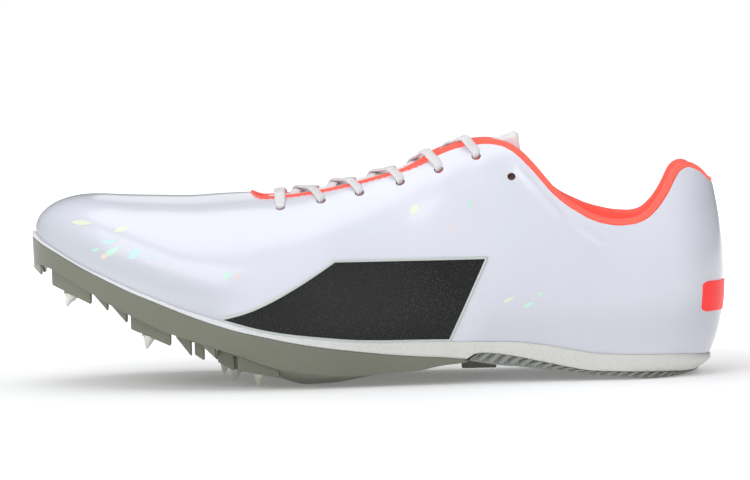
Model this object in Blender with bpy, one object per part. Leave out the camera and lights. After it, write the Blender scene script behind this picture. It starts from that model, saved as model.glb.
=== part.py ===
"""Left sprint spike shoe: a hollow upper drawn over its last, a padded collar lining, tongue,
foot bed, foam wedge, spike plate with lugs and steel spikes, ribbed heel rubber and lacing.

Metres, +Z up. Toe toward -X, heel toward +X, lateral side toward -Y. It stands on z = 0.
"along" is a share of the length, from the rearmost point of the heel to the toe lip.
"""
import math

import bmesh
import bpy
import numpy as np
from mathutils import Matrix, Vector

# Driving sizes of the last and the sole
LENGTH = 0.285
HEIGHT = 0.100
BALL_WIDTH = 0.088

# Ends of the last
TOE_TIP = 0.995
TOE_CAP_LENGTH = 0.050
TOE_DOME_LENGTH = 0.026
HEEL_CAP_LENGTH = 0.035
CAP_POWER = 2.2
DOME_POWER = 2.1

# Back of the heel: how far it tucks forward below and above its rearmost point
HEEL_BULGE_HEIGHT = 0.042
HEEL_TUCK_BELOW = 0.0066
HEEL_TUCK_ABOVE = 0.0043
HEEL_TUCK_REACH = 0.35

# Walls and clearances
UPPER_WALL = 0.0016
CLEARANCE = 0.0003
LINING_GAP = 0.0006
INSOLE_THICKNESS = 0.0030
TONGUE_THICKNESS = 0.0018

# Throat and collar
THROAT_FRONT = 0.683
THROAT_HALF_WIDTH = 0.0118
THROAT_END_LENGTH = 0.012
COLLAR_START = 0.400
COLLAR_MEDIAL_RISE = 0.0015
COLLAR_MEDIAL_REACH = 0.06
COLLAR_DIP = 0.155
EDGE_BLEND = 0.04
LINING_LIP = 0.00035
LINING_STRAIGHT_FROM = 0.60

# Places along the last where its rounded ends and the straighter parts of its edge meet
HEEL_ROUND = 0.12
COLLAR_FRONT = 0.36
THROAT_ROUND = 0.62
TOE_ROUND = 0.90

# Tongue
TONGUE_END = 0.291
TONGUE_FRONT = 0.655
TONGUE_HALF_WIDTH = 0.0195
TONGUE_CROWN_HALF_WIDTH = 0.0062
TONGUE_SLOPE_WIDTH = 0.0040
TONGUE_CROWN_DEPTH = 0.0016
TONGUE_TIP_START = 0.0016
TONGUE_TIP_LENGTH = 0.012
TONGUE_NARROWING = 0.25
TONGUE_NARROW_FROM = 0.50

# Lacing
EYELET_RADIUS = 0.0019
SPARE_EYELET_RADIUS = 0.00166
LACE_WIDTH = 0.0045
LACE_THICKNESS = 0.0013
LACE_START_SHARE = 0.15
FIRST_START_SHARE = 0.33
LACE_START_ACROSS = 0.0064
LACE_EDGE_LIFT = 0.0013
LACE_LANDING_LIFT = 0.0002
LACE_CROWN_LIFT = 0.0001

# Sole
LEDGE = 0.0010
TOE_LEDGE = 0.0014
HEEL_LEDGE = 0.0006
TOE_LEDGE_FROM = 0.75
TOE_LEDGE_REACH = 0.20
HEEL_DRAW_IN = 0.0026
HEEL_DRAW_REACH = 0.16
INSOLE_TOE_INSET = 0.0006
INSOLE_TOE_FROM = 0.80
MIDSOLE_BULGE = 0.0002
SOLE_STEP = (0.32, 0.40)
RUBBER_FRONT = 0.372
RUBBER_EDGE_HEIGHT = 0.0012
RUBBER_EDGE_GAP = 0.0004
RUBBER_FLOOR_INSET = 0.0022
RUBBER_HEEL_INSET = 0.0080
RUBBER_HEEL_REACH = 0.10
RUBBER_DRAFT = 0.0003
RUBBER_HEEL_DRAFT = 0.0012
RIB_PITCH = 0.0042
RIB_DEPTH = 0.0007
RIB_SLANT = 0.0016
RIB_EDGE_RISE = 0.0006
TAIL_THICKNESS = 0.0022
TAIL_GAP = 0.0005
PLATE_RIM = 0.0014
PLATE_DRAFT = 0.0003
KEEL_INSET = 0.0150
KEEL_LEAST_SHARE = 0.3

# Lugs and spikes
LUG_DROP = 0.0080
LUG_INSET = 0.0040
LUG_WIDTH = 0.0085
LUG_ROOT = 0.0016
LUG_TAPER = 0.12
LUG_LEAST_REACH = 0.0010
LUG_LEAST_WIDTH = 0.0016
CENTRE_LUG_WIDTH = 0.0084
CENTRE_LUG_TIP = 0.0032
CENTRE_LUG_ROOT = 0.0026
CENTRE_LUG_DROP = 0.0036
SPIKE_LENGTH = 0.0048
SPIKE_RADIUS = 0.0023
SPIKE_TIP_RADIUS = 0.0005
SPIKE_COLLAR_RADIUS = 0.0032
SPIKE_COLLAR_HEIGHT = 0.0010
BOSS_RADIUS = 0.0044
BOSS_ROOT = 0.002
BOSS_FOOT = 0.001
POCKET_RADIUS = 0.0048
POCKET_DEPTH = 0.012

# Sections of the last. Lengths are shares of BALL_WIDTH; undercut is a share of the half breadth,
# and square is the power of the section's oval.
LAST_SECTIONS = {
    "along":    (0.00, 0.08, 0.15, 0.25, 0.35, 0.45, 0.55, 0.62, 0.70, 0.78, 0.86, 0.93, 1.00),
    "breadth":  (.330, .324, .337, .343, .349, .369, .426, .474, .500, .483, .425, .378, .320),
    "swing":    (.000, -.004, -.008, -.014, -.031, -.051, -.051, -.031, .000, .025, .046, .074, .100),
    "lean":     (.000, .000, .000, .005, .020, .040, .056, .060, .056, .040, .020, .000, .000),
    "undercut": (.080, .080, .080, .080, .080, .080, .070, .060, .050, .030, .010, .000, .000),
    "square":   (2.10, 2.10, 2.10, 2.05, 2.00, 2.00, 2.00, 2.00, 2.05, 2.15, 2.25, 2.30, 2.30),
}

# Side lines. Heights are shares of HEIGHT.
FEATHER_LINE = {
    "along": (.00, .06, .12, .17, .20, .23, .27, .31, .36, .42, .49, .53, .59, .63, .665, .70, .74, .775,
              .81, .85, .885, .92, .96, .98, .995),
    "height": (.083, .096, .100, .106, .115, .130, .152, .165, .170, .175, .178, .183, .201, .216, .235,
               .262, .298, .330, .369, .414, .458, .502, .563, .594, .630),
}
RIDGE_LINE = {
    "along": (.00, .055, .10, .155, .20, .25, .30, .34, .36, .38, .40, .42, .44, .465, .49, .52, .54, .57,
              .60, .63, .66, .70, .73, .77, .81, .853, .90, .995),
    "height": (1.38, 1.31, 1.22, 1.13, 1.09, 1.055, 1.024, 1.009, 1.000, .988, .972, .949, .922, .895, .871,
               .845, .830, .811, .795, .784, .777, .774, .771, .766, .769, .773, .780, .785),
}
EDGE_LINE = {
    "along": (.000, .0063, .0165, .028, .039, .052, .0636, .076, .088, .101, .117, .136, .155, .177, .195,
              .213, .231, .249, .266, .281, .305, .321, .340, .361, .380, .400, .430),
    "height": (.780, .788, .818, .840, .849, .837, .804, .756, .714, .676, .643, .626, .622, .631, .648,
               .677, .711, .756, .813, .863, .927, .949, .957, .954, .944, .929, .900),
}
WEDGE_LINE = {
    "along": (.00, .052, .124, .167, .20, .221, .254, .286, .308, .33, .355, .365, .372, .378, .404, .445,
              .486, .548, .592, .628, .663, .70, .735, .77, .81, .847, .884, .922, .96, .98, .997),
    "height": (.022, .021, .030, .036, .041, .051, .072, .093, .107, .118, .124, .120, .109, .102, .109, .117,
               .128, .151, .171, .191, .214, .239, .270, .306, .352, .394, .442, .494, .551, .580, .608),
}
WALL_LINE = {
    "along": (.326, .365, .375, .387, .404, .425, .446, .477, .508, .54, .575, .611, .64, .695, .723, .7485,
              .7865, .844, .872, .897, .961, .976, .999),
    "height": (.096, .096, .088, .084, .080, .071, .059, .055, .050, .050, .056, .070, .085, .139, .165, .190,
               .224, .295, .334, .375, .472, .494, .502),
}
KEEL_LINE = {
    "along": (.326, .365, .375, .404, .446, .48, .512, .528, .568, .603, .64, .67, .70, .74, .7865, .844,
              .897, .961, .999),
    "height": (.096, .096, .084, .074, .053, .043, .033, .025, .010, .008, .036, .072, .115, .170, .216, .288,
               .368, .462, .494),
}
RUBBER_LINE = {
    "along": (.00, .06, .12, .133, .166, .198, .22, .242, .275, .307, .329, .373),
    "height": (.000, .000, .000, .004, .013, .022, .030, .040, .052, .064, .070, .092),
}
# Half width of the plate's tail, shares of BALL_WIDTH
TAIL = {
    "along": (.326, .332, .345, .360, .372, .386),
    "half": (.045, .085, .130, .200, .310, .410),
}
# Bar under the plate's tail: its ends, its half width as a share of the breadth, and its heights
TAIL_RIB = {"along": (.381, .331), "half": .038, "low": .036, "high": .100}
# Collar lining round the opening: thickness, height above the upper's edge, depth inside it, and
# how far its top is lifted off the last beside the tongue
LINING = {
    "along": (0.00, 0.10, 0.26, 0.30, 0.36, 0.42, 0.47, 0.70),
    "thickness": (.0034, .0034, .0031, .0030, .0022, .0016, .0010, .0010),
    "proud": (.0027, .0027, .0025, .0027, .0027, .0026, .0011, .0010),
    "depth": (.0140, .0140, .0126, .0120, .0080, .0050, .0030, .0026),
    "lift": (.0000, .0000, .0000, .0009, .0016, .0014, .0003, .0000),
}

# The tongue's sag behind the lacing, and the turned-down lip of its end
TONGUE_SAG = {
    "along": (.291, .300, .322, .345, .372, .700),
    "sag": (.0014, .0002, .0016, .0012, .0000, .0000),
}

# Lace holes, toe to heel: along, and height as a share of the section's rise
EYELETS = ((.636, .884), (.578, .894), (.523, .891), (.465, .884), (.410, .871), (.356, .888))
SPARE_EYELET = (.307, .772)

# Lugs under each side of the plate. Drops below the wall's lower edge are shares of LUG_DROP,
# insets from the rim shares of LUG_INSET.
LUGS = (
    {"front": .9945, "back": .9813, "front_drop": .31, "back_drop": .59, "inset": 0.3},
    {"front": .9651, "back": .9065, "front_drop": .89, "back_drop": .66, "inset": 1.0},
    {"front": .9016, "back": .8816, "front_drop": .04, "back_drop": .46, "inset": 0.8},
    {"front": .8767, "back": .8542, "front_drop": .04, "back_drop": .53, "inset": 0.8},
    {"front": .8487, "back": .7925, "front_drop": .74, "back_drop": .68, "inset": 1.0},
    {"front": .7850, "back": .7640, "front_drop": .15, "back_drop": .88, "inset": 1.5},
    {"front": .7590, "back": .7460, "front_drop": .74, "back_drop": .90, "inset": 1.6},
    {"front": .7508, "back": .7285, "front_drop": .02, "back_drop": .50, "inset": 0.1},
    {"front": .7265, "back": .7035, "front_drop": .75, "back_drop": .95, "inset": 1.9},
    {"front": .6987, "back": .6404, "front_drop": .82, "back_drop": .50, "inset": 0.9},
)
CENTRE_LUGS = (.90, .865, .80, .765)

# Spikes: along, across as a share of BALL_WIDTH, height of the tip as a share of HEIGHT, lean in degrees
SPIKES = (
    {"along": .948, "across": -.09, "tip": .321, "lean": 22.0},
    {"along": .948, "across": .23, "tip": .321, "lean": 22.0},
    {"along": .829, "across": -.32, "tip": .160, "lean": 14.0},
    {"along": .829, "across": .38, "tip": .160, "lean": 14.0},
    {"along": .729, "across": .29, "tip": .000, "lean": 7.7},
    {"along": .708, "across": -.09, "tip": .000, "lean": 7.7},
    {"along": .672, "across": -.33, "tip": .000, "lean": 7.7},
)

# Colours from the photo
PATENT_WHITE = (0.90, 0.92, 1.0)
CORAL = (0.99, 0.14, 0.10)
FOAM_WHITE = (0.70, 0.71, 0.71)
PLATE_GREY = (0.22, 0.23, 0.19)
RUBBER_GREY = (0.20, 0.20, 0.18)
STEEL = (0.40, 0.41, 0.36)
LACE_WHITE = (0.88, 0.88, 0.89)


def clear_scene():
    for thing in list(bpy.data.objects):
        bpy.data.objects.remove(thing, do_unlink=True)


def follow(table, name, along):
    """Smooth curve through one column of a table, without overshoot between its rows."""
    places = np.asarray(table["along"], dtype=float)
    values = np.asarray(table[name], dtype=float)
    along = np.clip(np.asarray(along, dtype=float), places[0], places[-1])
    step = np.diff(places)
    slope = np.diff(values) / step
    tangent = np.empty_like(values)
    tangent[0], tangent[-1] = slope[0], slope[-1]
    product = slope[1:] * slope[:-1]
    total = slope[1:] + slope[:-1]
    tangent[1:-1] = np.where(product > 0, 2 * product / np.where(product > 0, total, 1.0), 0.0)
    i = np.clip(np.searchsorted(places, along, side="right") - 1, 0, len(step) - 1)
    t = (along - places[i]) / step[i]
    rising = t * t * (3 - 2 * t)
    start = t * (1 - t) ** 2 * step[i] * tangent[i]
    end = t * t * (t - 1) * step[i] * tangent[i + 1]
    return values[i] * (1 - rising) + values[i + 1] * rising + start + end


def height_of(line, along):
    return follow(line, "height", along) * HEIGHT


def cap(distance, length, power):
    """0 at the end of a rounded form, 1 from one cap length inward."""
    t = np.clip(np.asarray(distance) / length, 0.0, 1.0)
    return (1 - (1 - t) ** power) ** (1 / power)


def smooth_step(value):
    t = np.clip(value, 0.0, 1.0)
    return t * t * (3 - 2 * t)


def along_of(x):
    return 0.5 - np.asarray(x) / LENGTH


def feather_height(along):
    return height_of(FEATHER_LINE, along)


def ridge_height(along):
    tip = feather_height(TOE_TIP)
    dome = cap((TOE_TIP - along) * LENGTH, TOE_DOME_LENGTH, DOME_POWER)
    return tip + (height_of(RIDGE_LINE, along) - tip) * dome


def heel_tuck(along, height):
    """How far the back of the heel lies forward of its rearmost point at a height."""
    below = np.clip(HEEL_BULGE_HEIGHT - height, 0, None) / (HEEL_BULGE_HEIGHT - feather_height(0.0))
    above = np.clip(height - HEEL_BULGE_HEIGHT, 0, None)
    above = above / (height_of(EDGE_LINE, 0.0) - HEEL_BULGE_HEIGHT)
    fade = np.clip(1 - along / HEEL_TUCK_REACH, 0, 1) ** 2
    return (HEEL_TUCK_BELOW * below ** 2.5 + HEEL_TUCK_ABOVE * above ** 1.8) * fade


def swing(along):
    """How far the last's middle line swings to the medial side."""
    return follow(LAST_SECTIONS, "swing", along) * BALL_WIDTH


def half_breadth(along):
    ends = cap(along * LENGTH, HEEL_CAP_LENGTH, CAP_POWER)
    ends = ends * cap((TOE_TIP - along) * LENGTH, TOE_CAP_LENGTH, CAP_POWER)
    full = follow(LAST_SECTIONS, "breadth", along) * BALL_WIDTH
    return full * ends / (1 - follow(LAST_SECTIONS, "undercut", along))


def last_point(along, turn):
    """Point on the last. The turn runs from 0 at the lateral feather line, over the ridge at a
    quarter turn, to a half turn at the medial feather line."""
    along, turn = np.broadcast_arrays(np.asarray(along, float), np.asarray(turn, float))
    rise = np.clip(np.sin(turn), 0.0, 1.0)
    square = follow(LAST_SECTIONS, "square", along)
    undercut = follow(LAST_SECTIONS, "undercut", along)
    oval = np.clip(1 - rise ** square, 0, 1) ** (1 / square) * (1 - undercut * (1 - rise) ** 3)
    oval = np.where(np.abs(np.cos(turn)) < 1e-9, 0.0, oval)
    middle = swing(along) + follow(LAST_SECTIONS, "lean", along) * BALL_WIDTH * rise ** 2
    across = middle - np.sign(np.cos(turn)) * half_breadth(along) * oval
    feather = feather_height(along)
    height = feather + (ridge_height(along) - feather) * rise
    x = (0.5 - along) * LENGTH - heel_tuck(along, height)
    return np.stack([x, across, height], axis=-1)


def last_normal(along, turn):
    """Outward unit normal of the last."""
    along, turn = np.broadcast_arrays(np.asarray(along, float), np.asarray(turn, float))
    inward = np.clip(along, 0.002, TOE_TIP - 0.002)
    by_along = last_point(inward - 5e-4, turn) - last_point(inward + 5e-4, turn)
    by_turn = last_point(inward, turn + 2e-3) - last_point(inward, turn - 2e-3)
    normal = np.cross(by_along, by_turn)
    return normal / np.linalg.norm(normal, axis=-1, keepdims=True)


def shell_point(along, turn, offset):
    """Point a given distance outside (or, below zero, inside) the last."""
    return last_point(along, turn) + last_normal(along, turn) * np.asarray(offset)[..., None]


def turn_at_rise(rise, side):
    """Turn of the point at a share of the section's rise. side is -1 lateral, 1 medial."""
    quarter = np.arcsin(np.clip(rise, 0, 1))
    return quarter if side < 0 else math.pi - quarter


def turn_at_across(along, distance):
    """Turn of the point on the section's top at a signed distance from the ridge."""
    square = follow(LAST_SECTIONS, "square", along)
    share = np.clip(np.abs(distance) / np.maximum(half_breadth(along), 1e-6), 0, 1)
    quarter = np.arcsin((1 - share ** square) ** (1 / square))
    return np.where(np.asarray(distance) < 0, quarter, math.pi - quarter)


def edge_turn(along, side):
    """Turn at the upper's top edge: the collar and throat, or the ridge where the vamp is closed."""
    along = np.asarray(along, float)
    feather = feather_height(along)
    rise_by_height = height_of(EDGE_LINE, along) - feather
    if side > 0:
        hump = np.exp(-((along - COLLAR_DIP) / COLLAR_MEDIAL_REACH) ** 2)
        rise_by_height = rise_by_height + COLLAR_MEDIAL_RISE * hump
    by_height = rise_by_height / np.maximum(ridge_height(along) - feather, 1e-6)
    throat = THROAT_HALF_WIDTH * cap((THROAT_FRONT - along) * LENGTH, THROAT_END_LENGTH, CAP_POWER)
    by_width = np.sin(turn_at_across(along, -throat))
    weight = smooth_step((along - COLLAR_START) / EDGE_BLEND + 0.5)
    rise = by_height * (1 - weight) + by_width * weight
    rise = np.where(along >= THROAT_FRONT, 1.0, rise)
    return turn_at_rise(rise, side)


def rounded_steps(start, end, count, tight_start=False, tight_end=False):
    """Places from start to end, closer together at a rounded end."""
    t = np.linspace(0, 1, count + 1)
    if tight_start and tight_end:
        t = (1 - np.cos(math.pi * t)) / 2
    elif tight_start:
        t = 1 - np.cos(math.pi / 2 * t)
    elif tight_end:
        t = np.sin(math.pi / 2 * t)
    return start + (end - start) * t


def upper_stations():
    parts = [
        rounded_steps(0.0, HEEL_ROUND, 10, tight_start=True),
        rounded_steps(HEEL_ROUND, COLLAR_FRONT, 10)[1:],
        rounded_steps(COLLAR_FRONT, THROAT_ROUND, 7)[1:],
        rounded_steps(THROAT_ROUND, THROAT_FRONT, 7, tight_end=True)[1:],
        rounded_steps(THROAT_FRONT, TOE_ROUND, 5)[1:],
        rounded_steps(TOE_ROUND, TOE_TIP, 8, tight_end=True)[1:],
    ]
    return np.concatenate(parts)


def feather_outline(places, grow):
    """Both sides of the last's bottom edge, grown outward in plan. Returns (lateral, medial) points."""
    places = np.asarray(places, float)
    sides = []
    fine = np.clip(np.stack([places - 4e-4, places + 4e-4]), 0.0, TOE_TIP)
    for turn, way in ((0.0, -1.0), (math.pi, 1.0)):
        point = last_point(places, turn)
        run = last_point(fine[1], turn) - last_point(fine[0], turn)
        outward = np.stack([-run[:, 1], run[:, 0], np.zeros(len(places))], axis=-1) * -way
        at_end = (places <= 1e-9) | (places >= TOE_TIP - 1e-9)
        end_way = np.where(places < 0.5, 1.0, -1.0)
        outward[at_end] = np.stack([end_way, 0 * end_way, 0 * end_way], axis=-1)[at_end]
        outward /= np.linalg.norm(outward, axis=-1, keepdims=True)
        sides.append(point + outward * np.broadcast_to(grow, places.shape)[:, None])
    return sides


def ledge(places):
    """How far the sole stands out beyond the upper."""
    toe = smooth_step((places - TOE_LEDGE_FROM) / TOE_LEDGE_REACH)
    heel = smooth_step(1 - places / HEEL_ROUND)
    return LEDGE + (TOE_LEDGE - LEDGE) * toe + (HEEL_LEDGE - LEDGE) * heel


def heel_draw_in(places):
    """How much the sole's lower edge draws in round the heel."""
    return HEEL_DRAW_IN * smooth_step(1 - places / HEEL_DRAW_REACH)


def material(name, colour, roughness, metallic=0.0):
    made = bpy.data.materials.new(name)
    made.use_nodes = True
    shader = made.node_tree.nodes["Principled BSDF"]
    shader.inputs["Base Color"].default_value = (*colour, 1.0)
    shader.inputs["Roughness"].default_value = roughness
    shader.inputs["Metallic"].default_value = metallic
    return made


def mesh_object(name, points, faces, finish=None):
    """Object from points and faces, with points that coincide welded and faces turned outward."""
    bm = bmesh.new()
    verts = [bm.verts.new(p) for p in points]
    for face in faces:
        bm.faces.new([verts[i] for i in face])
    bmesh.ops.remove_doubles(bm, verts=bm.verts, dist=1e-6)
    bmesh.ops.dissolve_degenerate(bm, edges=bm.edges, dist=1e-7)
    bmesh.ops.recalc_face_normals(bm, faces=bm.faces)
    mesh = bpy.data.meshes.new(name)
    bm.to_mesh(mesh)
    bm.free()
    mesh.shade_smooth()
    thing = bpy.data.objects.new(name, mesh)
    bpy.context.scene.collection.objects.link(thing)
    if finish is not None:
        mesh.materials.append(finish)
    return thing


def grid_faces(rows, columns, closed_rows=False, closed_columns=False):
    faces = []
    for i in range(rows if closed_rows else rows - 1):
        for j in range(columns if closed_columns else columns - 1):
            k, m = (i + 1) % rows, (j + 1) % columns
            faces.append((i * columns + j, i * columns + m, k * columns + m, k * columns + j))
    return faces


def loft(name, rings, finish=None, loop=False, cap_first=True, cap_last=True):
    """Solid through closed rings of as many points each."""
    rings = np.asarray(rings)
    count, points = rings.shape[:2]
    faces = grid_faces(count, points, closed_rows=loop, closed_columns=True)
    if not loop and cap_first:
        faces.append(tuple(range(points)))
    if not loop and cap_last:
        faces.append(tuple((count - 1) * points + i for i in range(points)))
    return mesh_object(name, rings.reshape(-1, 3), faces, finish)


def as_tool(thing):
    thing.hide_render = True
    thing.display_type = "WIRE"
    return thing


def boolean(thing, tool, operation, crossing_parts=False):
    """Cut or join a hidden tool. crossing_parts is for a tool whose own parts may overlap."""
    modifier = thing.modifiers.new(operation.title(), "BOOLEAN")
    modifier.operation = operation
    modifier.solver = "EXACT"
    modifier.use_self = crossing_parts
    modifier.object = tool


def joined(name, meshes):
    """One object from several (points, faces) pairs."""
    points, faces = [], []
    for some_points, some_faces in meshes:
        start = len(points)
        points.extend(some_points)
        faces.extend(tuple(start + i for i in face) for face in some_faces)
    return mesh_object(name, points, faces)


def box_faces():
    return [(0, 1, 2, 3), (4, 5, 6, 7), (0, 1, 5, 4), (1, 2, 6, 5), (2, 3, 7, 6), (3, 0, 4, 7)]


def cylinder(start, end, radius, sides=8):
    """Points and faces of a round bar between two points."""
    start, end = Vector(start), Vector(end)
    turn = (end - start).to_track_quat("Z", "Y")
    points = []
    for base in (start, end):
        for i in range(sides):
            angle = 2 * math.pi * i / sides
            points.append(base + turn @ Vector((math.cos(angle) * radius, math.sin(angle) * radius, 0)))
    faces = [tuple(range(sides)), tuple(range(sides, 2 * sides))]
    faces += [(i, (i + 1) % sides, sides + (i + 1) % sides, sides + i) for i in range(sides)]
    return points, faces


def make_upper(finish):
    """The upper's outer face as a sheet, given its wall by Solidify, with the lace holes cut."""
    stations = upper_stations()
    columns = 8
    points, faces = [], []
    for side in (-1, 1):
        start = len(points)
        top = edge_turn(stations, side)
        bottom = 0.0 if side < 0 else math.pi
        for place, end in zip(stations, top):
            points.extend(last_point(place, np.linspace(bottom, end, columns + 1)))
        faces += [tuple(start + i for i in face) for face in grid_faces(len(stations), columns + 1)]
    upper = mesh_object("upper", points, faces, finish)
    wall = upper.modifiers.new("Wall", "SOLIDIFY")
    wall.thickness = UPPER_WALL
    wall.offset = -1.0
    wall.use_even_offset = True
    wall.use_quality_normals = True
    holes = []
    for side in (-1, 1):
        for place, rise in EYELETS + (SPARE_EYELET,):
            turn = turn_at_rise(rise, side)
            radius = SPARE_EYELET_RADIUS if (place, rise) == SPARE_EYELET else EYELET_RADIUS
            inner = shell_point(place, turn, -2.2 * UPPER_WALL)
            outer = shell_point(place, turn, 2.2 * UPPER_WALL)
            holes.append(cylinder(inner, outer, radius))
    boolean(upper, as_tool(joined("lace_hole_cutter", holes)), "DIFFERENCE")
    return upper


def opening_loop():
    """The upper's top edge as one closed loop: along, turn and side at each place."""
    stations = [s for s in upper_stations() if s <= THROAT_FRONT + 1e-9]
    lateral = [(s, float(edge_turn(s, -1))) for s in stations]
    medial = [(s, float(edge_turn(s, 1))) for s in stations[1:-1]]
    return lateral + medial[::-1]


def turn_below_edge(along, turn, depth):
    """Turn of the point a given length down the wall from the top edge."""
    way = -1.0 if turn < math.pi / 2 else 1.0
    reach, here = 0.0, last_point(along, turn)
    while reach < depth and 0.05 < turn < math.pi - 0.05:
        turn += way * 0.01
        there = last_point(along, turn)
        reach += np.linalg.norm(there - here)
        here = there
    return turn


def make_collar_lining(finish):
    """Padded roll round the collar that thins to a bound edge round the throat."""
    loop = opening_loop()
    edge = np.array([last_point(s, t) for s, t in loop])
    run = np.roll(edge, -1, axis=0) - np.roll(edge, 1, axis=0)
    rings = []
    for (place, turn), point, forward in zip(loop, edge, run):
        normal = last_normal(place, turn)
        up = np.cross(forward, normal)
        up /= np.linalg.norm(up)
        in_throat_end = place > LINING_STRAIGHT_FROM
        toward_open = np.array([1.0, 0.0, 1.0]) if in_throat_end else np.array([0.0, 0.0, 1.0])
        if np.dot(up, toward_open) < 0:
            up = -up
        thick = float(follow(LINING, "thickness", place))
        proud = float(follow(LINING, "proud", place))
        depth = float(follow(LINING, "depth", place))
        raised = normal * float(follow(LINING, "lift", place))
        inner_face = UPPER_WALL + LINING_GAP
        if in_throat_end:
            low = [(point - up * d, normal) for d in (depth, depth / 2)]
        else:
            turns = [turn_below_edge(place, turn, d) for d in (depth, depth / 2)]
            low = [(last_point(place, t), last_normal(place, t)) for t in turns]
        rings.append([
            low[0][0] - low[0][1] * inner_face,
            low[1][0] - low[1][1] * inner_face,
            point - normal * inner_face + up * LINING_LIP,
            point - normal * 0.3 * UPPER_WALL + up * LINING_LIP,
            point - normal * 0.1 * UPPER_WALL + up * (LINING_LIP + proud) / 2 + 0.6 * raised,
            point - normal * 0.6 * UPPER_WALL + up * proud + raised,
            point - normal * (inner_face + 0.55 * thick) + up * 0.95 * proud + raised,
            point - normal * (inner_face + thick) + up * 0.3 * proud + 0.4 * raised,
            low[1][0] - low[1][1] * (inner_face + thick),
            low[0][0] - low[0][1] * (inner_face + 0.5 * thick),
        ])
    return loft("collar_lining", rings, finish, loop=True)


def tongue_offset(along, distance):
    """Depth of the tongue's top face under the last: near the surface along its middle, and
    below the lining at its sides."""
    side = UPPER_WALL + LINING_GAP + 2 * CLEARANCE + follow(LINING, "thickness", along)
    drop = smooth_step((np.abs(distance) - TONGUE_CROWN_HALF_WIDTH) / TONGUE_SLOPE_WIDTH)
    sag = follow(TONGUE_SAG, "sag", along)
    return -(TONGUE_CROWN_DEPTH + sag + (side - TONGUE_CROWN_DEPTH) * drop)


def make_tongue(finish):
    stations = rounded_steps(TONGUE_END, TONGUE_FRONT, 15, tight_start=True)
    shares = np.array([-1.0, -0.76, -0.53, -0.34, 0.0, 0.34, 0.53, 0.76, 1.0])
    distance = shares * TONGUE_HALF_WIDTH
    points = []
    for place in stations:
        toward_toe = (place - TONGUE_NARROW_FROM) / (TONGUE_FRONT - TONGUE_NARROW_FROM)
        tip = cap((place - TONGUE_END) * LENGTH + TONGUE_TIP_START, TONGUE_TIP_LENGTH, CAP_POWER)
        narrow = (1 - TONGUE_NARROWING * smooth_step(toward_toe)) * tip
        turn = turn_at_across(place, distance * narrow)
        points.extend(shell_point(place, turn, tongue_offset(place, distance * narrow)))
    tongue = mesh_object("tongue", points, grid_faces(len(stations), len(shares)), finish)
    pad = tongue.modifiers.new("Thickness", "SOLIDIFY")
    pad.thickness = TONGUE_THICKNESS
    pad.offset = -1.0
    pad.use_even_offset = True
    return tongue


def slab_rings(levels):
    """Rings of a sole piece. Each level is (places, grow, height function); rings go down the
    lateral side and up the medial one."""
    left, right = [], []
    for places, grow, level in levels:
        lateral, medial = feather_outline(places, grow)
        plain = feather_outline(places, 0.0)
        for side, line in zip((lateral, medial), plain):
            side[:, 2] = level(places - (side[:, 0] - line[:, 0]) / LENGTH, side)
        left.append(lateral)
        right.append(medial)
    return np.stack(left + right[::-1], axis=1)


def sole_places(first, last):
    places = np.unique(np.concatenate([
        rounded_steps(0.0, HEEL_ROUND, 10, tight_start=True),
        rounded_steps(HEEL_ROUND, SOLE_STEP[0], 7)[1:],
        rounded_steps(*SOLE_STEP, 10)[1:],
        rounded_steps(SOLE_STEP[1], TOE_ROUND, 16)[1:],
        rounded_steps(TOE_ROUND, TOE_TIP, 10, tight_end=True)[1:],
    ]))
    inside = places[(places > first + 1e-3) & (places < last - 1e-3)]
    return np.concatenate([[first], inside, [last]])


def make_insole(finish):
    places = np.append(sole_places(0.0, TOE_TIP)[:-1:2], TOE_TIP)
    inset = UPPER_WALL + 3 * CLEARANCE
    toe = INSOLE_TOE_INSET * smooth_step((places - INSOLE_TOE_FROM) / (1 - INSOLE_TOE_FROM))

    def bottom(where, side):
        return feather_height(where)

    def top(where, side):
        return feather_height(where) + INSOLE_THICKNESS
    rings = slab_rings([(places, -inset - toe, top), (places, -inset, bottom)])
    return loft("insole", rings, finish, cap_first=False, cap_last=False)


def make_midsole(finish):
    places = sole_places(0.0, TOE_TIP)
    out = ledge(places)

    def top(where, side):
        return feather_height(where) - CLEARANCE

    def bottom(where, side):
        return height_of(WEDGE_LINE, along_of(side[:, 0]))

    def middle(where, side):
        return 0.55 * top(where, side) + 0.45 * bottom(where, side)
    levels = [
        (places, out, top),
        (places, out + MIDSOLE_BULGE, middle),
        (places, out - heel_draw_in(places), bottom),
    ]
    return loft("midsole", slab_rings(levels), finish, cap_first=False, cap_last=False)


def rib_places():
    """Places along the rubber's rim at equal lengths round it, four to each rib, and their rib share."""
    fine = np.concatenate([
        rounded_steps(0, HEEL_ROUND, 200, tight_start=True),
        rounded_steps(HEEL_ROUND, RUBBER_FRONT, 200)[1:],
    ])
    rim = feather_outline(fine, 0.0)[0]
    reach = np.concatenate([[0], np.cumsum(np.linalg.norm(np.diff(rim[:, :2], axis=0), axis=1))])
    ribs = int(reach[-1] / RIB_PITCH)
    pitch = reach[-1] / ribs
    places, share = [0.0], [1.0]
    for k in range(ribs):
        for step, out in ((0.30, 1.0), (0.42, 0.0), (0.88, 0.0), (1.0, 1.0)):
            places.append(float(np.interp((k + step) * pitch, reach, fine)))
            share.append(out)
    return np.array(places), np.array(share)


def tail_half(along):
    return follow(TAIL, "half", along) * BALL_WIDTH


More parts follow.
